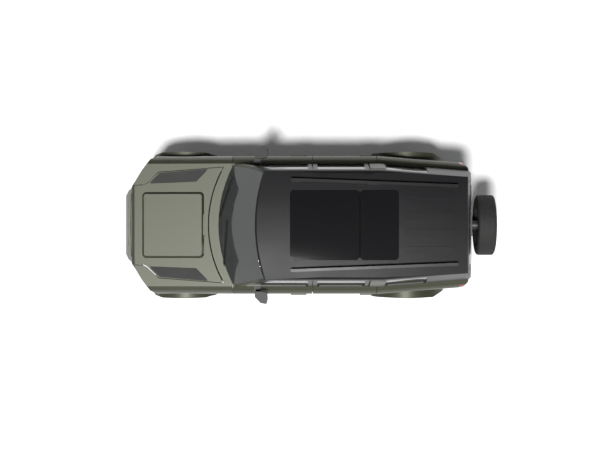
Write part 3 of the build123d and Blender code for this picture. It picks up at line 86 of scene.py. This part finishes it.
world = bpy.data.worlds.new("studio_sky")
bpy.context.scene.world = world
world.use_nodes = True
tree = world.node_tree
sky = tree.nodes["Background"]
sky.inputs["Color"].default_value = (0.96, 0.98, 1.0, 1)
place = tree.nodes.new("ShaderNodeTexCoord")
split = tree.nodes.new("ShaderNodeSeparateXYZ")
tree.links.new(place.outputs["Generated"], split.inputs["Vector"])
side_glow = tree.nodes.new("ShaderNodeMapRange")
side_glow.inputs["From Min"].default_value = -0.2
side_glow.inputs["From Max"].default_value = 0.95
side_glow.inputs["To Min"].default_value = fill_dark
side_glow.inputs["To Max"].default_value = fill_bright
tree.links.new(split.outputs["Y"], side_glow.inputs["Value"])
ray = tree.nodes.new("ShaderNodeLightPath")
level = tree.nodes.new("ShaderNodeMix")
level.inputs["B"].default_value = 1.0
tree.links.new(ray.outputs["Is Camera Ray"], level.inputs["Factor"])
tree.links.new(side_glow.outputs["Result"], level.inputs["A"])
tree.links.new(level.outputs["Result"], sky.inputs["Strength"])

lamp = bpy.data.lights.new("high_lamp", "SUN")
lamp.energy = lamp_power
lamp.angle = lamp_spread
lamp_object = bpy.data.objects.new("high_lamp", lamp)
lamp_object.rotation_euler = (-lamp_side).to_track_quat("-Z", "Y").to_euler()
bpy.context.scene.collection.objects.link(lamp_object)

camera = bpy.data.cameras.new("overhead")
camera.lens = camera_lens
camera.sensor_width = 36
camera.clip_end = 200
camera_object = bpy.data.objects.new("overhead", camera)
camera_object.location = camera_place
camera_object.rotation_euler = (0, 0, math.pi)
bpy.context.scene.collection.objects.link(camera_object)
bpy.context.scene.camera = camera_object
bpy.context.scene.view_settings.view_transform = "Standard"

# Painted body: bonnet, fenders, cowl and front bumper, pressed and moulded panels with rounded folds.
# They are sprayed olive metallic under a thin clear coat, with fine flake and a slight mottle.


def speckle_group():
    """Shader group: a fine and a broad noise over the object, as a value from 0 to 1."""
    group = bpy.data.node_groups.new("speckle", "ShaderNodeTree")
    group.interface.new_socket("Fine Scale", in_out="INPUT", socket_type="NodeSocketFloat")
    group.interface.new_socket("Broad Scale", in_out="INPUT", socket_type="NodeSocketFloat")
    group.interface.new_socket("Fine", in_out="OUTPUT", socket_type="NodeSocketFloat")
    group.interface.new_socket("Broad", in_out="OUTPUT", socket_type="NodeSocketFloat")
    source = group.nodes.new("NodeGroupInput")
    drain = group.nodes.new("NodeGroupOutput")
    place = group.nodes.new("ShaderNodeTexCoord")
    for scale, result, detail in (("Fine Scale", "Fine", 2), ("Broad Scale", "Broad", 4)):
        noise = group.nodes.new("ShaderNodeTexNoise")
        noise.inputs["Detail"].default_value = detail
        group.links.new(place.outputs["Object"], noise.inputs["Vector"])
        group.links.new(source.outputs[scale], noise.inputs["Scale"])
        group.links.new(noise.outputs["Fac"], drain.inputs[result])
    return group


speckle = speckle_group()


def surface(name, dark, light, roughness, metallic=0.0, coat=0.0, fine=220.0, broad=3.0, bump=0.0,
            spread=0.12, specular=0.5):
    """Material whose colour runs between two close tones, with roughness and relief from the same noise."""
    material = bpy.data.materials.new(name)
    material.use_nodes = True
    tree = material.node_tree
    shader = tree.nodes["Principled BSDF"]
    noise = tree.nodes.new("ShaderNodeGroup")
    noise.node_tree = speckle
    noise.inputs["Fine Scale"].default_value = fine
    noise.inputs["Broad Scale"].default_value = broad
    mix = tree.nodes.new("ShaderNodeMix")
    mix.data_type = "RGBA"
    mix.inputs["A"].default_value = (*dark, 1)
    mix.inputs["B"].default_value = (*light, 1)
    add = tree.nodes.new("ShaderNodeMath")
    add.operation = "MULTIPLY_ADD"
    add.inputs[1].default_value = 0.5
    half = tree.nodes.new("ShaderNodeMath")
    half.operation = "MULTIPLY"
    half.inputs[1].default_value = 0.5
    tree.links.new(noise.outputs["Broad"], half.inputs[0])
    tree.links.new(noise.outputs["Fine"], add.inputs[0])
    tree.links.new(half.outputs[0], add.inputs[2])
    tree.links.new(add.outputs[0], mix.inputs["Factor"])
    tree.links.new(mix.outputs["Result"], shader.inputs["Base Color"])
    rough = tree.nodes.new("ShaderNodeMapRange")
    rough.inputs["To Min"].default_value = roughness * (1 - spread)
    rough.inputs["To Max"].default_value = roughness * (1 + spread)
    tree.links.new(noise.outputs["Broad"], rough.inputs["Value"])
    tree.links.new(rough.outputs["Result"], shader.inputs["Roughness"])
    shader.inputs["Metallic"].default_value = metallic
    shader.inputs["Coat Weight"].default_value = coat
    shader.inputs["Coat Roughness"].default_value = 0.06
    shader.inputs["Specular IOR Level"].default_value = specular
    if bump:
        relief = tree.nodes.new("ShaderNodeBump")
        relief.inputs["Strength"].default_value = 0.5
        relief.inputs["Distance"].default_value = bump
        tree.links.new(noise.outputs["Fine"], relief.inputs["Height"])
        tree.links.new(relief.outputs["Normal"], shader.inputs["Normal"])
    return material


def even_shade(piece):
    """Shades a piece smooth over its rounded edges and flat on its broad faces."""
    for polygon in piece.data.polygons:
        polygon.use_smooth = True
    smooth = piece.modifiers.new("smooth", "WEIGHTED_NORMAL")
    smooth.keep_sharp = True


def wear(node, material, edge=0.0, angle=24):
    """Gives a solid its finish, and rounds its folded edges by a modifier."""
    piece = nodes[node]
    piece.data.materials.clear()
    piece.data.materials.append(material)
    if edge:
        weld = piece.modifiers.new("weld", "WELD")
        weld.merge_threshold = 0.00005
        flat = piece.modifiers.new("flat", "DECIMATE")
        flat.decimate_type = "DISSOLVE"
        flat.angle_limit = math.radians(0.6)
        fold = piece.modifiers.new("fold", "BEVEL")
        fold.width = edge
        fold.segments = 2
        fold.limit_method = "ANGLE"
        fold.angle_limit = math.radians(angle)
        fold.use_clamp_overlap = True
        fold.harden_normals = True
        even_shade(piece)


olive_dark = (0.043, 0.045, 0.029)
olive_light = (0.056, 0.058, 0.038)
olive_metal = 0.35
olive = surface("olive_metallic", olive_dark, olive_light, 0.42, metallic=olive_metal, coat=0.25, fine=900,
                broad=2.0, spread=0.08)
for name in ("fender_left", "fender_right", "cowl", "bumper_front"):
    wear(name, olive, 0.003)
wear("bonnet", olive, 0.006)


def within(tree, axis, low, high):
    """Mask that is 1 where one coordinate of the object lies between two limits."""
    place = tree.nodes.new("ShaderNodeTexCoord")
    split = tree.nodes.new("ShaderNodeSeparateXYZ")
    tree.links.new(place.outputs["Object"], split.inputs["Vector"])
    above = tree.nodes.new("ShaderNodeMath")
    above.operation = "GREATER_THAN"
    above.inputs[1].default_value = low
    below = tree.nodes.new("ShaderNodeMath")
    below.operation = "LESS_THAN"
    below.inputs[1].default_value = high
    mask = tree.nodes.new("ShaderNodeMath")
    mask.operation = "MULTIPLY"
    for test in (above, below):
        tree.links.new(split.outputs[axis], test.inputs[0])
    tree.links.new(above.outputs[0], mask.inputs[0])
    tree.links.new(below.outputs[0], mask.inputs[1])
    return mask.outputs[0]


def joined(tree, operation, first, second):
    """One mask made from two."""
    node = tree.nodes.new("ShaderNodeMath")
    node.operation = operation
    tree.links.new(first, node.inputs[0])
    tree.links.new(second, node.inputs[1])
    return node.outputs[0]


# Doors, side frames and tailgate are olive below the windows and gloss black round them, as they are masked
# and sprayed; the windscreen pillars and the square panel behind the rear doors stay olive.
black_paint = (0.008, 0.008, 0.009, 1)
black_above = 1.262
black_behind = 0.66
panel_ends = (-1.001, -0.811)
panel_heights = (1.299, 1.743)
beyond_car = 3.0
two_tone = surface("two_tone_paint", olive_dark, olive_light, 0.42, fine=900, broad=2.0, spread=0.08,
                   specular=0.4)
tree = two_tone.node_tree
shader = tree.nodes["Principled BSDF"]
upper = joined(tree, "MULTIPLY", within(tree, "Z", black_above, beyond_car),
               within(tree, "X", -beyond_car, black_behind))
panel = joined(tree, "MULTIPLY", within(tree, "X", *panel_ends), within(tree, "Z", *panel_heights))
black_part = joined(tree, "SUBTRACT", upper, panel)
shade = tree.nodes.new("ShaderNodeMix")
shade.data_type = "RGBA"
shade.inputs["B"].default_value = black_paint
tree.links.new(shader.inputs["Base Color"].links[0].from_socket, shade.inputs["A"])
tree.links.new(black_part, shade.inputs["Factor"])
tree.links.new(shade.outputs["Result"], shader.inputs["Base Color"])
metal = tree.nodes.new("ShaderNodeMapRange")
metal.inputs["To Min"].default_value = olive_metal
metal.inputs["To Max"].default_value = 0.0
tree.links.new(black_part, metal.inputs["Value"])
tree.links.new(metal.outputs["Result"], shader.inputs["Metallic"])
for name in ("side_frame_left", "side_frame_right", "door_front_left", "door_front_right",
             "door_rear_left", "door_rear_right", "tailgate"):
    wear(name, two_tone, 0.003)

# Roof: one black painted pressing with its ribs, curved both ways.
# It is the darkest part of the car, with a low sheen.
roof_black = surface("roof_black", (0.005, 0.005, 0.006), (0.007, 0.007, 0.008), 0.42, fine=700, broad=2,
                     specular=0.14)
wear("roof", roof_black, 0.004)

# Glass: windscreen and front windows lightly tinted, and near-black panes behind them and in the roof.
# Each is a curved pane let into its frame.


def tinted(name, colour, rough=0.02, through=0.75):
    """Tinted glass: dark, smooth and partly clear."""
    material = surface(name, tuple(c * 0.95 for c in colour), colour, rough + 0.01, fine=40, broad=1.5)
    shader = material.node_tree.nodes["Principled BSDF"]
    shader.inputs["Transmission Weight"].default_value = through
    shader.inputs["IOR"].default_value = 1.45
    return material


screen_glass = tinted("screen_glass", (0.07, 0.075, 0.073), through=0.5)
side_glass = tinted("side_glass", (0.10, 0.105, 0.105), through=0.75)
privacy_glass = tinted("privacy_glass", (0.010, 0.010, 0.011), 0.05, 0.35)
wear("windscreen", screen_glass)
wear("door_glass_front_left", side_glass)
wear("door_glass_front_right", side_glass)
for name in ("roof_glass", "quarter_glass", "tailgate_glass", "door_glass_rear_left", "door_glass_rear_right"):
    wear(name, privacy_glass)

# Black trim outside: roof rails, mirror shells, grille, rear bumper, arch liners and wipers.
# It is moulded plastic and coated metal, some grained and some satin; the lower front bumper is warm grey.
grained = surface("grained_plastic", (0.013, 0.013, 0.013), (0.021, 0.021, 0.021), 0.55, fine=420, broad=6,
                  bump=0.0003, specular=0.25)
satin = surface("satin_black", (0.009, 0.009, 0.009), (0.014, 0.014, 0.014), 0.38, fine=500, broad=5,
                specular=0.25)
warm_grey = surface("bumper_grey", (0.075, 0.075, 0.070), (0.100, 0.100, 0.093), 0.5, fine=420, broad=5,
                    bump=0.0003)
for name, material, edge in (
    ("roof_rails", satin, 0.003), ("mirror_left", satin, 0.012), ("mirror_right", satin, 0.012),
    ("grille", satin, 0.002), ("bumper_rear", grained, 0.006), ("bumper_lower", warm_grey, 0.008),
    ("arch_liners", grained, 0), ("wipers", satin, 0.001),
):
    wear(name, material, edge)

# Treadplates on the bonnet corners: black moulded plates fixed down on the pressing.
# Raised bars cross at right angles all over them, turned half way between ahead and across.
bar_scale = 14
bar_height = 0.003
treadplate = surface("treadplate", (0.011, 0.011, 0.010), (0.017, 0.017, 0.016), 0.5, fine=500, broad=6,
                     specular=0.25)
tree = treadplate.node_tree
place = tree.nodes.new("ShaderNodeTexCoord")
turn = tree.nodes.new("ShaderNodeMapping")
turn.inputs["Rotation"].default_value = (0, 0, math.radians(45))
tree.links.new(place.outputs["Object"], turn.inputs["Vector"])
bars = []
for direction in ("X", "Y"):
    wave = tree.nodes.new("ShaderNodeTexWave")
    wave.bands_direction = direction
    wave.inputs["Scale"].default_value = bar_scale
    tree.links.new(turn.outputs["Vector"], wave.inputs["Vector"])
    bars.append(wave)
cross = tree.nodes.new("ShaderNodeMath")
cross.operation = "MULTIPLY"
tree.links.new(bars[0].outputs["Fac"], cross.inputs[0])
tree.links.new(bars[1].outputs["Fac"], cross.inputs[1])
relief = tree.nodes.new("ShaderNodeBump")
relief.inputs["Strength"].default_value = 0.7
relief.inputs["Distance"].default_value = bar_height
tree.links.new(cross.outputs[0], relief.inputs["Height"])
tree.links.new(relief.outputs["Normal"], tree.nodes["Principled BSDF"].inputs["Normal"])
wear("treadplates", treadplate, 0.0015)

# Tyres: five alike, moulded rubber, four on the road and the spare on the tailgate.
# The flat crown is cut into slanting blocks, with a ring of low blocks on each shoulder.
tyre_rubber = surface("tyre_rubber", (0.014, 0.014, 0.014), (0.026, 0.025, 0.024), 0.72, fine=300, broad=9,
                      bump=0.0004, specular=0.3)
tyre_sections = (
    # radius and distance from the middle plane, from the bead over the crown to the other bead
    (0.256, -0.104), (0.262, -0.112), (0.285, -0.121), (0.318, -0.1265), (0.350, -0.1262), (0.378, -0.120),
    (0.392, -0.108), (0.398, -0.088), (0.399, -0.050), (0.399, -0.018), (0.399, 0.018), (0.399, 0.050),
    (0.398, 0.088), (0.392, 0.108), (0.378, 0.120), (0.350, 0.1262), (0.318, 0.1265), (0.285, 0.121),
    (0.262, 0.112), (0.256, 0.104),
)
tread_pitch = 76
crown_slant = 0.55
crown_inner = 0.385
block_gap = 0.0028
block_height = 0.0075
shoulder_gap = 0.003
shoulder_height = 0.0012
merge_near = 0.00002


def placed(name, bm, material, body):
    """Makes a piece of a finished bmesh, riding on one of the car's bodies."""
    mesh = bpy.data.meshes.new(name)
    bm.to_mesh(mesh)
    bm.free()
    mesh.materials.append(material)
    piece = bpy.data.objects.new(name, mesh)
    bpy.context.scene.collection.objects.link(piece)
    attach(piece, body)
    return piece


def tyre(name, node, body, centre, across):
    """One tyre turned about its axle, its crown faces raised into blocks."""
    bm = bmesh.new()
    ring = [bm.verts.new((radius, offset, 0)) for radius, offset in tyre_sections]
    edges = [bm.edges.new((ring[i], ring[(i + 1) % len(ring)])) for i in range(len(ring))]
    bmesh.ops.spin(bm, geom=ring + edges, axis=(0, 1, 0), cent=(0, 0, 0), steps=tread_pitch,
                   angle=math.tau, use_merge=True)
    bmesh.ops.remove_doubles(bm, verts=bm.verts, dist=merge_near)
    bmesh.ops.recalc_face_normals(bm, faces=bm.faces)
    for vert in bm.verts:
        if abs(vert.co.y) < 0.1 and vert.co.x ** 2 + vert.co.z ** 2 > 0.38 ** 2:
            vert.co.rotate(Matrix.Rotation(crown_slant * abs(vert.co.y), 3, "Y"))
    crown = [face for face in bm.faces
             if abs(face.calc_center_median().y) < 0.107 and face.calc_center_median().xz.length > crown_inner]
    bmesh.ops.inset_individual(bm, faces=crown, thickness=block_gap, depth=block_height, use_even_offset=True)
    shoulder = [face for face in bm.faces
                if 0.112 < abs(face.calc_center_median().y) < 0.124
                and face.calc_center_median().xz.length > 0.36]
    bmesh.ops.inset_individual(bm, faces=shoulder, thickness=shoulder_gap, depth=shoulder_height,
                               use_even_offset=True)
    turn = Matrix.Rotation(math.pi / 2, 4, "Z") if across == "X" else Matrix()
    bmesh.ops.transform(bm, matrix=Matrix.Translation(centre) @ turn, verts=bm.verts)
    piece = placed(name, bm, tyre_rubber, body)
    even_shade(piece)
    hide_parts(node)


def centre_of(node):
    """Middle of a solid's box."""
    low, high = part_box(node)
    return (low + high) / 2


wheel_bodies = [(f"{end}_{side}", f"wheel_{end}_{side}")
                for end in ("front", "rear") for side in ("left", "right")]
for which, body in wheel_bodies:
    tyre(f"road_tyre_{which}", f"tyre_{which}", body, centre_of(f"tyre_{which}"), "Y")
tyre("road_tyre_spare", "spare_tyre", "tailgate_body", centre_of("spare_tyre"), "X")

# Rims: cast alloy with split spokes under dark satin lacquer, on the four wheels and the spare.
# Each has a plain cap over its hub and is held by five steel nuts.
hub_reach = 0.068
cap_radius = 0.034
nut_circle = 0.060
nut_radius = 0.0105
nut_height = 0.016
alloy = surface("dark_alloy", (0.045, 0.045, 0.046), (0.062, 0.062, 0.064), 0.34, metallic=0.8, coat=0.5,
                fine=500, broad=6)
steel = surface("bare_steel", (0.30, 0.30, 0.29), (0.42, 0.42, 0.41), 0.34, metallic=1.0, fine=160, broad=8)
for which, body in wheel_bodies:
    wear(f"rim_{which}", alloy, 0.004, 30)
wear("spare_rim", alloy, 0.004, 30)


def small_disc(name, body, centre, direction, radius, depth, material, sides=32, edge=0.002):
    """Short round piece standing out from a surface, with its rim rounded."""
    bm = bmesh.new()
    bmesh.ops.create_cone(bm, cap_ends=True, segments=sides, radius1=radius, radius2=radius, depth=depth)
    rim = [e for e in bm.edges if abs(e.verts[0].co.z - e.verts[1].co.z) < 1e-6 and e.verts[0].co.z > 0]
    bmesh.ops.bevel(bm, geom=rim, offset=edge, segments=2, profile=0.5, affect="EDGES", material=-1)
    turn = Vector(direction).normalized().to_track_quat("Z", "Y").to_matrix().to_4x4()
    bmesh.ops.transform(bm, matrix=Matrix.Translation(Vector(centre)) @ turn, verts=bm.verts)
    placed(name, bm, material, body)


up = Vector((0, 0, 1))
faced_wheels = [(which, body, f"tyre_{which}", (0, 1 if "left" in which else -1, 0))
                for which, body in wheel_bodies]
faced_wheels.append(("spare", "tailgate_body", "spare_tyre", (-1, 0, 0)))
for which, body, tyre_node, direction in faced_wheels:
    middle = centre_of(tyre_node)
    out = Vector(direction)
    small_disc(f"wheel_cap_{which}", body, middle + out * (hub_reach + 0.002), direction, cap_radius, 0.006,
               satin)
    side = out.cross(up).normalized()
    for i in range(5):
        turn = math.tau * i / 5
        spot = middle + out * (hub_reach - 0.006) + (side * math.cos(turn) + up * math.sin(turn)) * nut_circle
        small_disc(f"wheel_nut_{which}_{i}", body, spot, direction, nut_radius, nut_height, steel,
                   sides=6)

# Number plates front and rear: blank white boards, each in a dark plastic frame.
# The frame lies on the face of its bumper.
plate_width = 0.518
plate_height = 0.110
plate_margin = 0.012


def board(name, body, centre, size, material, edge=0.002, turn=None, segments=2):
    """Box with rounded edges, placed by its centre."""
    bm = bmesh.new()
    bmesh.ops.create_cube(bm, size=1)
    bmesh.ops.scale(bm, vec=size, verts=bm.verts)
    bmesh.ops.bevel(bm, geom=bm.edges[:], offset=edge, segments=segments, profile=0.5, affect="EDGES",
                    material=-1)
    matrix = Matrix.Translation(Vector(centre))
    if turn is not None:
        matrix = matrix @ turn
    bmesh.ops.transform(bm, matrix=matrix, verts=bm.verts)
    even_shade(placed(name, bm, material, body))


plate_white = surface("plate_white", (0.62, 0.62, 0.60), (0.68, 0.68, 0.66), 0.4, fine=300, broad=5)
for end, node, sign, height in (("front", "bumper_front", 1, 0.765), ("rear", "bumper_rear", -1, 0.500)):
    out = Vector((sign, 0, 0))
    _, middle, _, _ = nodes[node].ray_cast(Vector((sign * beyond_car, 0, height)), -out)
    board(f"plate_frame_{end}", "chassis", middle + out * 0.002,
          (0.006, plate_width + plate_margin, plate_height + plate_margin), satin)
    board(f"plate_{end}", "chassis", middle + out * 0.005, (0.003, plate_width, plate_height), plate_white,
          0.001)

# Lamps: a clear cover at each front corner over a dark bowl, with a white ring light round a dark eye.
# The rear corners have plain red lenses let into the body.
lamp_aim = (0.690, 0.973)
lamp_cover = tinted("lamp_cover", (0.30, 0.31, 0.32), 0.02, 0.55)
red_lens = surface("red_lens", (0.16, 0.006, 0.005), (0.24, 0.010, 0.008), 0.12, fine=300, broad=5, coat=0.6)
wear("headlamps", lamp_cover, 0.004)
wear("tail_lamps", red_lens, 0.004)
ring_white = surface("ring_white", (0.68, 0.70, 0.72), (0.78, 0.80, 0.82), 0.25, fine=200, broad=5, coat=0.5)
for side, sign in (("left", 1), ("right", -1)):
    _, middle, facing, _ = nodes["headlamps"].ray_cast(Vector((beyond_car, sign * lamp_aim[0], lamp_aim[1])),
                                                       Vector((-1, 0, 0)))
    for part, stand, radius, depth, material, edge in (
        ("bowl", -0.006, 0.070, 0.016, satin, 0.004), ("ring", -0.002, 0.062, 0.012, ring_white, 0.005),
        ("eye", 0.001, 0.048, 0.010, satin, 0.004),
    ):
        small_disc(f"lamp_{part}_{side}", "chassis", middle + facing * stand, facing, radius, depth, material,
                   48, edge)

# Under and inside the car: pressed floor and frame under sealer, cast engine, driveline and knuckles.
# Suspension and spare carrier are coated steel, the exhaust is bare, and the dashboard is grained plastic.
sealed = surface("sealed_underbody", (0.020, 0.020, 0.020), (0.034, 0.033, 0.031), 0.7, fine=180, broad=6,
                 bump=0.0005)
cast = surface("cast_housing", (0.11, 0.11, 0.105), (0.17, 0.17, 0.16), 0.5, metallic=0.7, fine=160, broad=10,
               bump=0.0004)
coated = surface("coated_steel", (0.030, 0.030, 0.031), (0.050, 0.050, 0.050), 0.42, metallic=0.3, fine=200,
                 broad=8)
for name, material, edge in (
    ("floor_pan", sealed, 0.003), ("front_structure", sealed, 0.003), ("engine", cast, 0.008),
    ("driveline", cast, 0.005), ("exhaust", steel, 0.004), ("fuel_tank", sealed, 0.008),
    ("front_suspension", coated, 0.004), ("rear_suspension", coated, 0.004), ("knuckle_left", cast, 0.003),
    ("knuckle_right", cast, 0.003), ("spare_carrier", coated, 0.003), ("dashboard", grained, 0.012),
):
    wear(name, material, edge)

# Seats: two front armchairs and a rear bench, foam under stitched leather, on dark plastic bases.
# Each pad is a plain block swelled by cloth pressure, with sewn channels pressed in afterwards.
leather = surface("seat_leather", (0.020, 0.019, 0.018), (0.034, 0.032, 0.030), 0.48, fine=260, broad=8,
                  bump=0.0006)
swell_room = 0.024
swell_pressure = 4
swell_frames = 20
channel_half = 0.018


def swelled(name, size, corner, voxel, cap, channels):
    """Mesh of one pad about its own centre: a rounded block blown up a little, with channels across it."""
    bm = bmesh.new()
    bmesh.ops.create_cube(bm, size=1)
    bmesh.ops.scale(bm, vec=[s - swell_room for s in size], verts=bm.verts)
    bmesh.ops.bevel(bm, geom=bm.edges[:], offset=corner, segments=4, profile=0.5, affect="EDGES", material=-1)
    mesh = bpy.data.meshes.new(name)
    bm.to_mesh(mesh)
    bm.free()
    piece = bpy.data.objects.new(name, mesh)
    bpy.context.scene.collection.objects.link(piece)
    grain = piece.modifiers.new("voxels", "REMESH")
    grain.mode = "VOXEL"
    grain.voxel_size = voxel
    bpy.context.view_layer.update()
    mesh = bpy.data.meshes.new_from_object(piece.evaluated_get(bpy.context.evaluated_depsgraph_get()))
    piece.modifiers.clear()
    piece.data = mesh
    rest = [v.co.copy() for v in mesh.vertices]
    cloth = piece.modifiers.new("swell", "CLOTH")
    cloth.settings.quality = 5
    cloth.settings.use_pressure = True
    cloth.settings.uniform_pressure_force = swell_pressure
    cloth.settings.effector_weights.gravity = 0
    cloth.collision_settings.use_collision = False
    for number in range(1, swell_frames + 1):
        bpy.context.scene.frame_set(number)
    blown = bpy.data.meshes.new_from_object(piece.evaluated_get(bpy.context.evaluated_depsgraph_get()))
    piece.modifiers.clear()
    for vert, start in zip(blown.vertices, rest):
        step = vert.co - start
        if step.length > cap:
            vert.co = start + step * (cap / step.length)
    piece.data = mesh = blown
    bpy.context.scene.frame_set(1)
    bm = bmesh.new()
    bm.from_mesh(mesh)
    bmesh.ops.subdivide_edges(bm, edges=bm.edges[:], cuts=1, use_grid_fill=True)
    bmesh.ops.smooth_vert(bm, verts=bm.verts, factor=0.5, use_axis_x=True, use_axis_y=True, use_axis_z=True)
    for vert in bm.verts:
        for axis, place, depth in channels:
            away = abs(vert.co[axis] - place)
            if away < channel_half and vert.co[2] > 0:
                vert.co[2] -= depth * (1 + math.cos(math.pi * away / channel_half)) / 2
    bm.to_mesh(mesh)
    bm.free()
    for polygon in mesh.polygons:
        polygon.use_smooth = True
    mesh.materials.append(leather)
    bpy.data.objects.remove(piece)
    return mesh


def pad(name, mesh, centre, lean, node=None):
    mesh = mesh.copy()
    mesh.transform(Matrix.Translation(Vector(centre)) @ Matrix.Rotation(math.radians(lean), 4, "Y"))
    piece = bpy.data.objects.new(name, mesh)
    bpy.context.scene.collection.objects.link(piece)
    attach(piece, "chassis")
    if node:
        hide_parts(node)


front_cushion = swelled("front_cushion", (0.42, 0.47, 0.135), 0.035, 0.012, 0.022,
                        [(1, 0.135, 0.010), (1, -0.135, 0.010), (0, 0.05, 0.007), (0, -0.07, 0.007)])
front_back = swelled("front_back", (0.56, 0.45, 0.105), 0.030, 0.012, 0.022,
                     [(1, 0.125, 0.009), (1, -0.125, 0.009), (0, 0.10, 0.006), (0, -0.06, 0.006)])
headrest = swelled("headrest", (0.17, 0.26, 0.085), 0.028, 0.008, 0.014, [])
rear_cushion = swelled("rear_cushion", (0.34, 1.14, 0.135), 0.035, 0.014, 0.022,
                       [(1, 0.20, 0.012), (1, -0.20, 0.012), (0, 0.03, 0.006)])
rear_back = swelled("rear_back", (0.62, 1.14, 0.105), 0.030, 0.014, 0.022,
                    [(1, 0.20, 0.012), (1, -0.20, 0.012), (0, 0.12, 0.006)])
front_seat_y = 0.395
bench_spacing = 0.38
for side, y in (("left", front_seat_y), ("right", -front_seat_y)):
    pad(f"seat_cushion_{side}", front_cushion, (0.075, y, 0.530), -2, "front_seats")
    pad(f"seat_back_{side}", front_back, (-0.262, y, 0.890), 101.5)
    pad(f"seat_headrest_{side}", headrest, (-0.300, y, 1.312), 98)
    board(f"seat_base_{side}", "chassis", (0.02, y, 0.418), (0.50, 0.40, 0.08), grained, 0.015)
    for post in (-0.06, 0.06):
        small_disc(f"headrest_post_{side}_{'in' if post < 0 else 'out'}", "chassis", (-0.316, y + post, 1.20),
                   up, 0.006, 0.12, steel, 16, 0.001)
pad("bench_cushion", rear_cushion, (-0.795, 0, 0.530), -2, "rear_seat")
pad("bench_back", rear_back, (-1.108, 0, 0.925), 102)
for number, y in enumerate((-bench_spacing, 0, bench_spacing)):
    pad(f"bench_headrest_{number}", headrest, (-1.168, y, 1.290), 99)
board("bench_base", "chassis", (-0.79, 0, 0.430), (0.32, 1.10, 0.07), grained, 0.012)

# Painted shade under the gap between bonnet and cowl: short black strips laid end to end along its arc.
# They are a dark sheet that stands in for the shade down in the gap.
shade_strip_arc = 1.576
shade_strip_middle = 1.344
shade_strip_reach = 0.70
shade_strip_step = 0.1
shade_strip_height = 1.165
# near-black matt colour of the painted shade strips in the gap
gap_shade_material = surface("gap_shade_black", (0.006, 0.006, 0.006), (0.010, 0.010, 0.010), 0.8, fine=200, broad=6, specular=0.2)
for number in range(15):
    y = number * shade_strip_step - shade_strip_reach
    x = shade_strip_middle - shade_strip_arc + math.sqrt(shade_strip_arc ** 2 - y ** 2)
    board(f"bonnet_gap_shade_{number}", "chassis", (x, y, shade_strip_height), (0.075, 0.112, 0.010), gap_shade_material,
          0.002, Matrix.Rotation(-math.asin(y / shade_strip_arc), 4, "Z"), 1)

# Sill covers: long moulded black plastic strips under the doors.
# They are clipped to the sills.
sill_cover = (1.90, 0.062, 0.056)
for side, sign in (("left", 1), ("right", -1)):
    board(f"sill_cover_{side}", "chassis", (0.045, sign * 0.896, 0.360), sill_cover, grained,
          0.008)

# Steering wheel: a leather rim on a steel ring, with three satin spokes and a plain padded hub.
# It turns on the column, which slopes down and ahead.
wheel_centre = Vector((0.552, 0.390, 1.010))
column_slope = math.radians(24)
column = Vector((math.cos(column_slope), 0, -math.sin(column_slope)))
ring_radius = 0.186
grip_radius = 0.0148
bm = bmesh.new()
bmesh.ops.create_circle(bm, segments=16, radius=grip_radius)
bmesh.ops.transform(bm, matrix=Matrix.Translation((ring_radius, 0, 0)) @ Matrix.Rotation(math.pi / 2, 4, "X"),
                    verts=bm.verts)
bmesh.ops.spin(bm, geom=bm.verts[:] + bm.edges[:], axis=(0, 0, 1), cent=(0, 0, 0), steps=64, angle=math.tau,
               use_merge=True)
bmesh.ops.remove_doubles(bm, verts=bm.verts, dist=merge_near)
bmesh.ops.recalc_face_normals(bm, faces=bm.faces)
rim_turn = column.to_track_quat("Z", "X").to_matrix().to_4x4()
bmesh.ops.transform(bm, matrix=Matrix.Translation(wheel_centre) @ rim_turn, verts=bm.verts)
steering_rim = placed("steering_rim", bm, leather, "steering_wheel_body")
for polygon in steering_rim.data.polygons:
    polygon.use_smooth = True
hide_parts("steering_wheel")
frame_turn = Matrix((Vector((0, 1, 0)), column.cross(Vector((0, 1, 0))), column)).transposed().to_4x4()
board("steering_hub", "steering_wheel_body", wheel_centre + column * 0.022, (0.115, 0.100, 0.030), leather,
      0.012, frame_turn, 4)
for number, turn in enumerate((0, 90, 180)):
    spoke = frame_turn @ Matrix.Rotation(math.radians(turn), 4, "Z")
    board(f"steering_spoke_{number}", "steering_wheel_body",
          wheel_centre + column * 0.012 + spoke.to_3x3() @ Vector((0.115, 0, 0)), (0.135, 0.026, 0.008),
          satin, 0.003, spoke)

# Door mirrors: a plain silvered glass on the rear face of each moulded shell.
# It rides on the front door with its shell.
mirror_x, mirror_y, mirror_z = 0.5475, 0.976, 1.322
mirror_toe = 0.06
mirror_glass = surface("mirror_glass", (0.72, 0.73, 0.74), (0.76, 0.77, 0.78), 0.04, metallic=1.0, fine=40,
                       broad=2)
for side, sign in (("left", 1), ("right", -1)):
    board(f"mirror_glass_{side}", f"front_door_{side}_body", (mirror_x, sign * mirror_y, mirror_z),
          (0.004, 0.105, 0.105), mirror_glass, 0.0015, Matrix.Rotation(sign * mirror_toe, 4, "Z"))
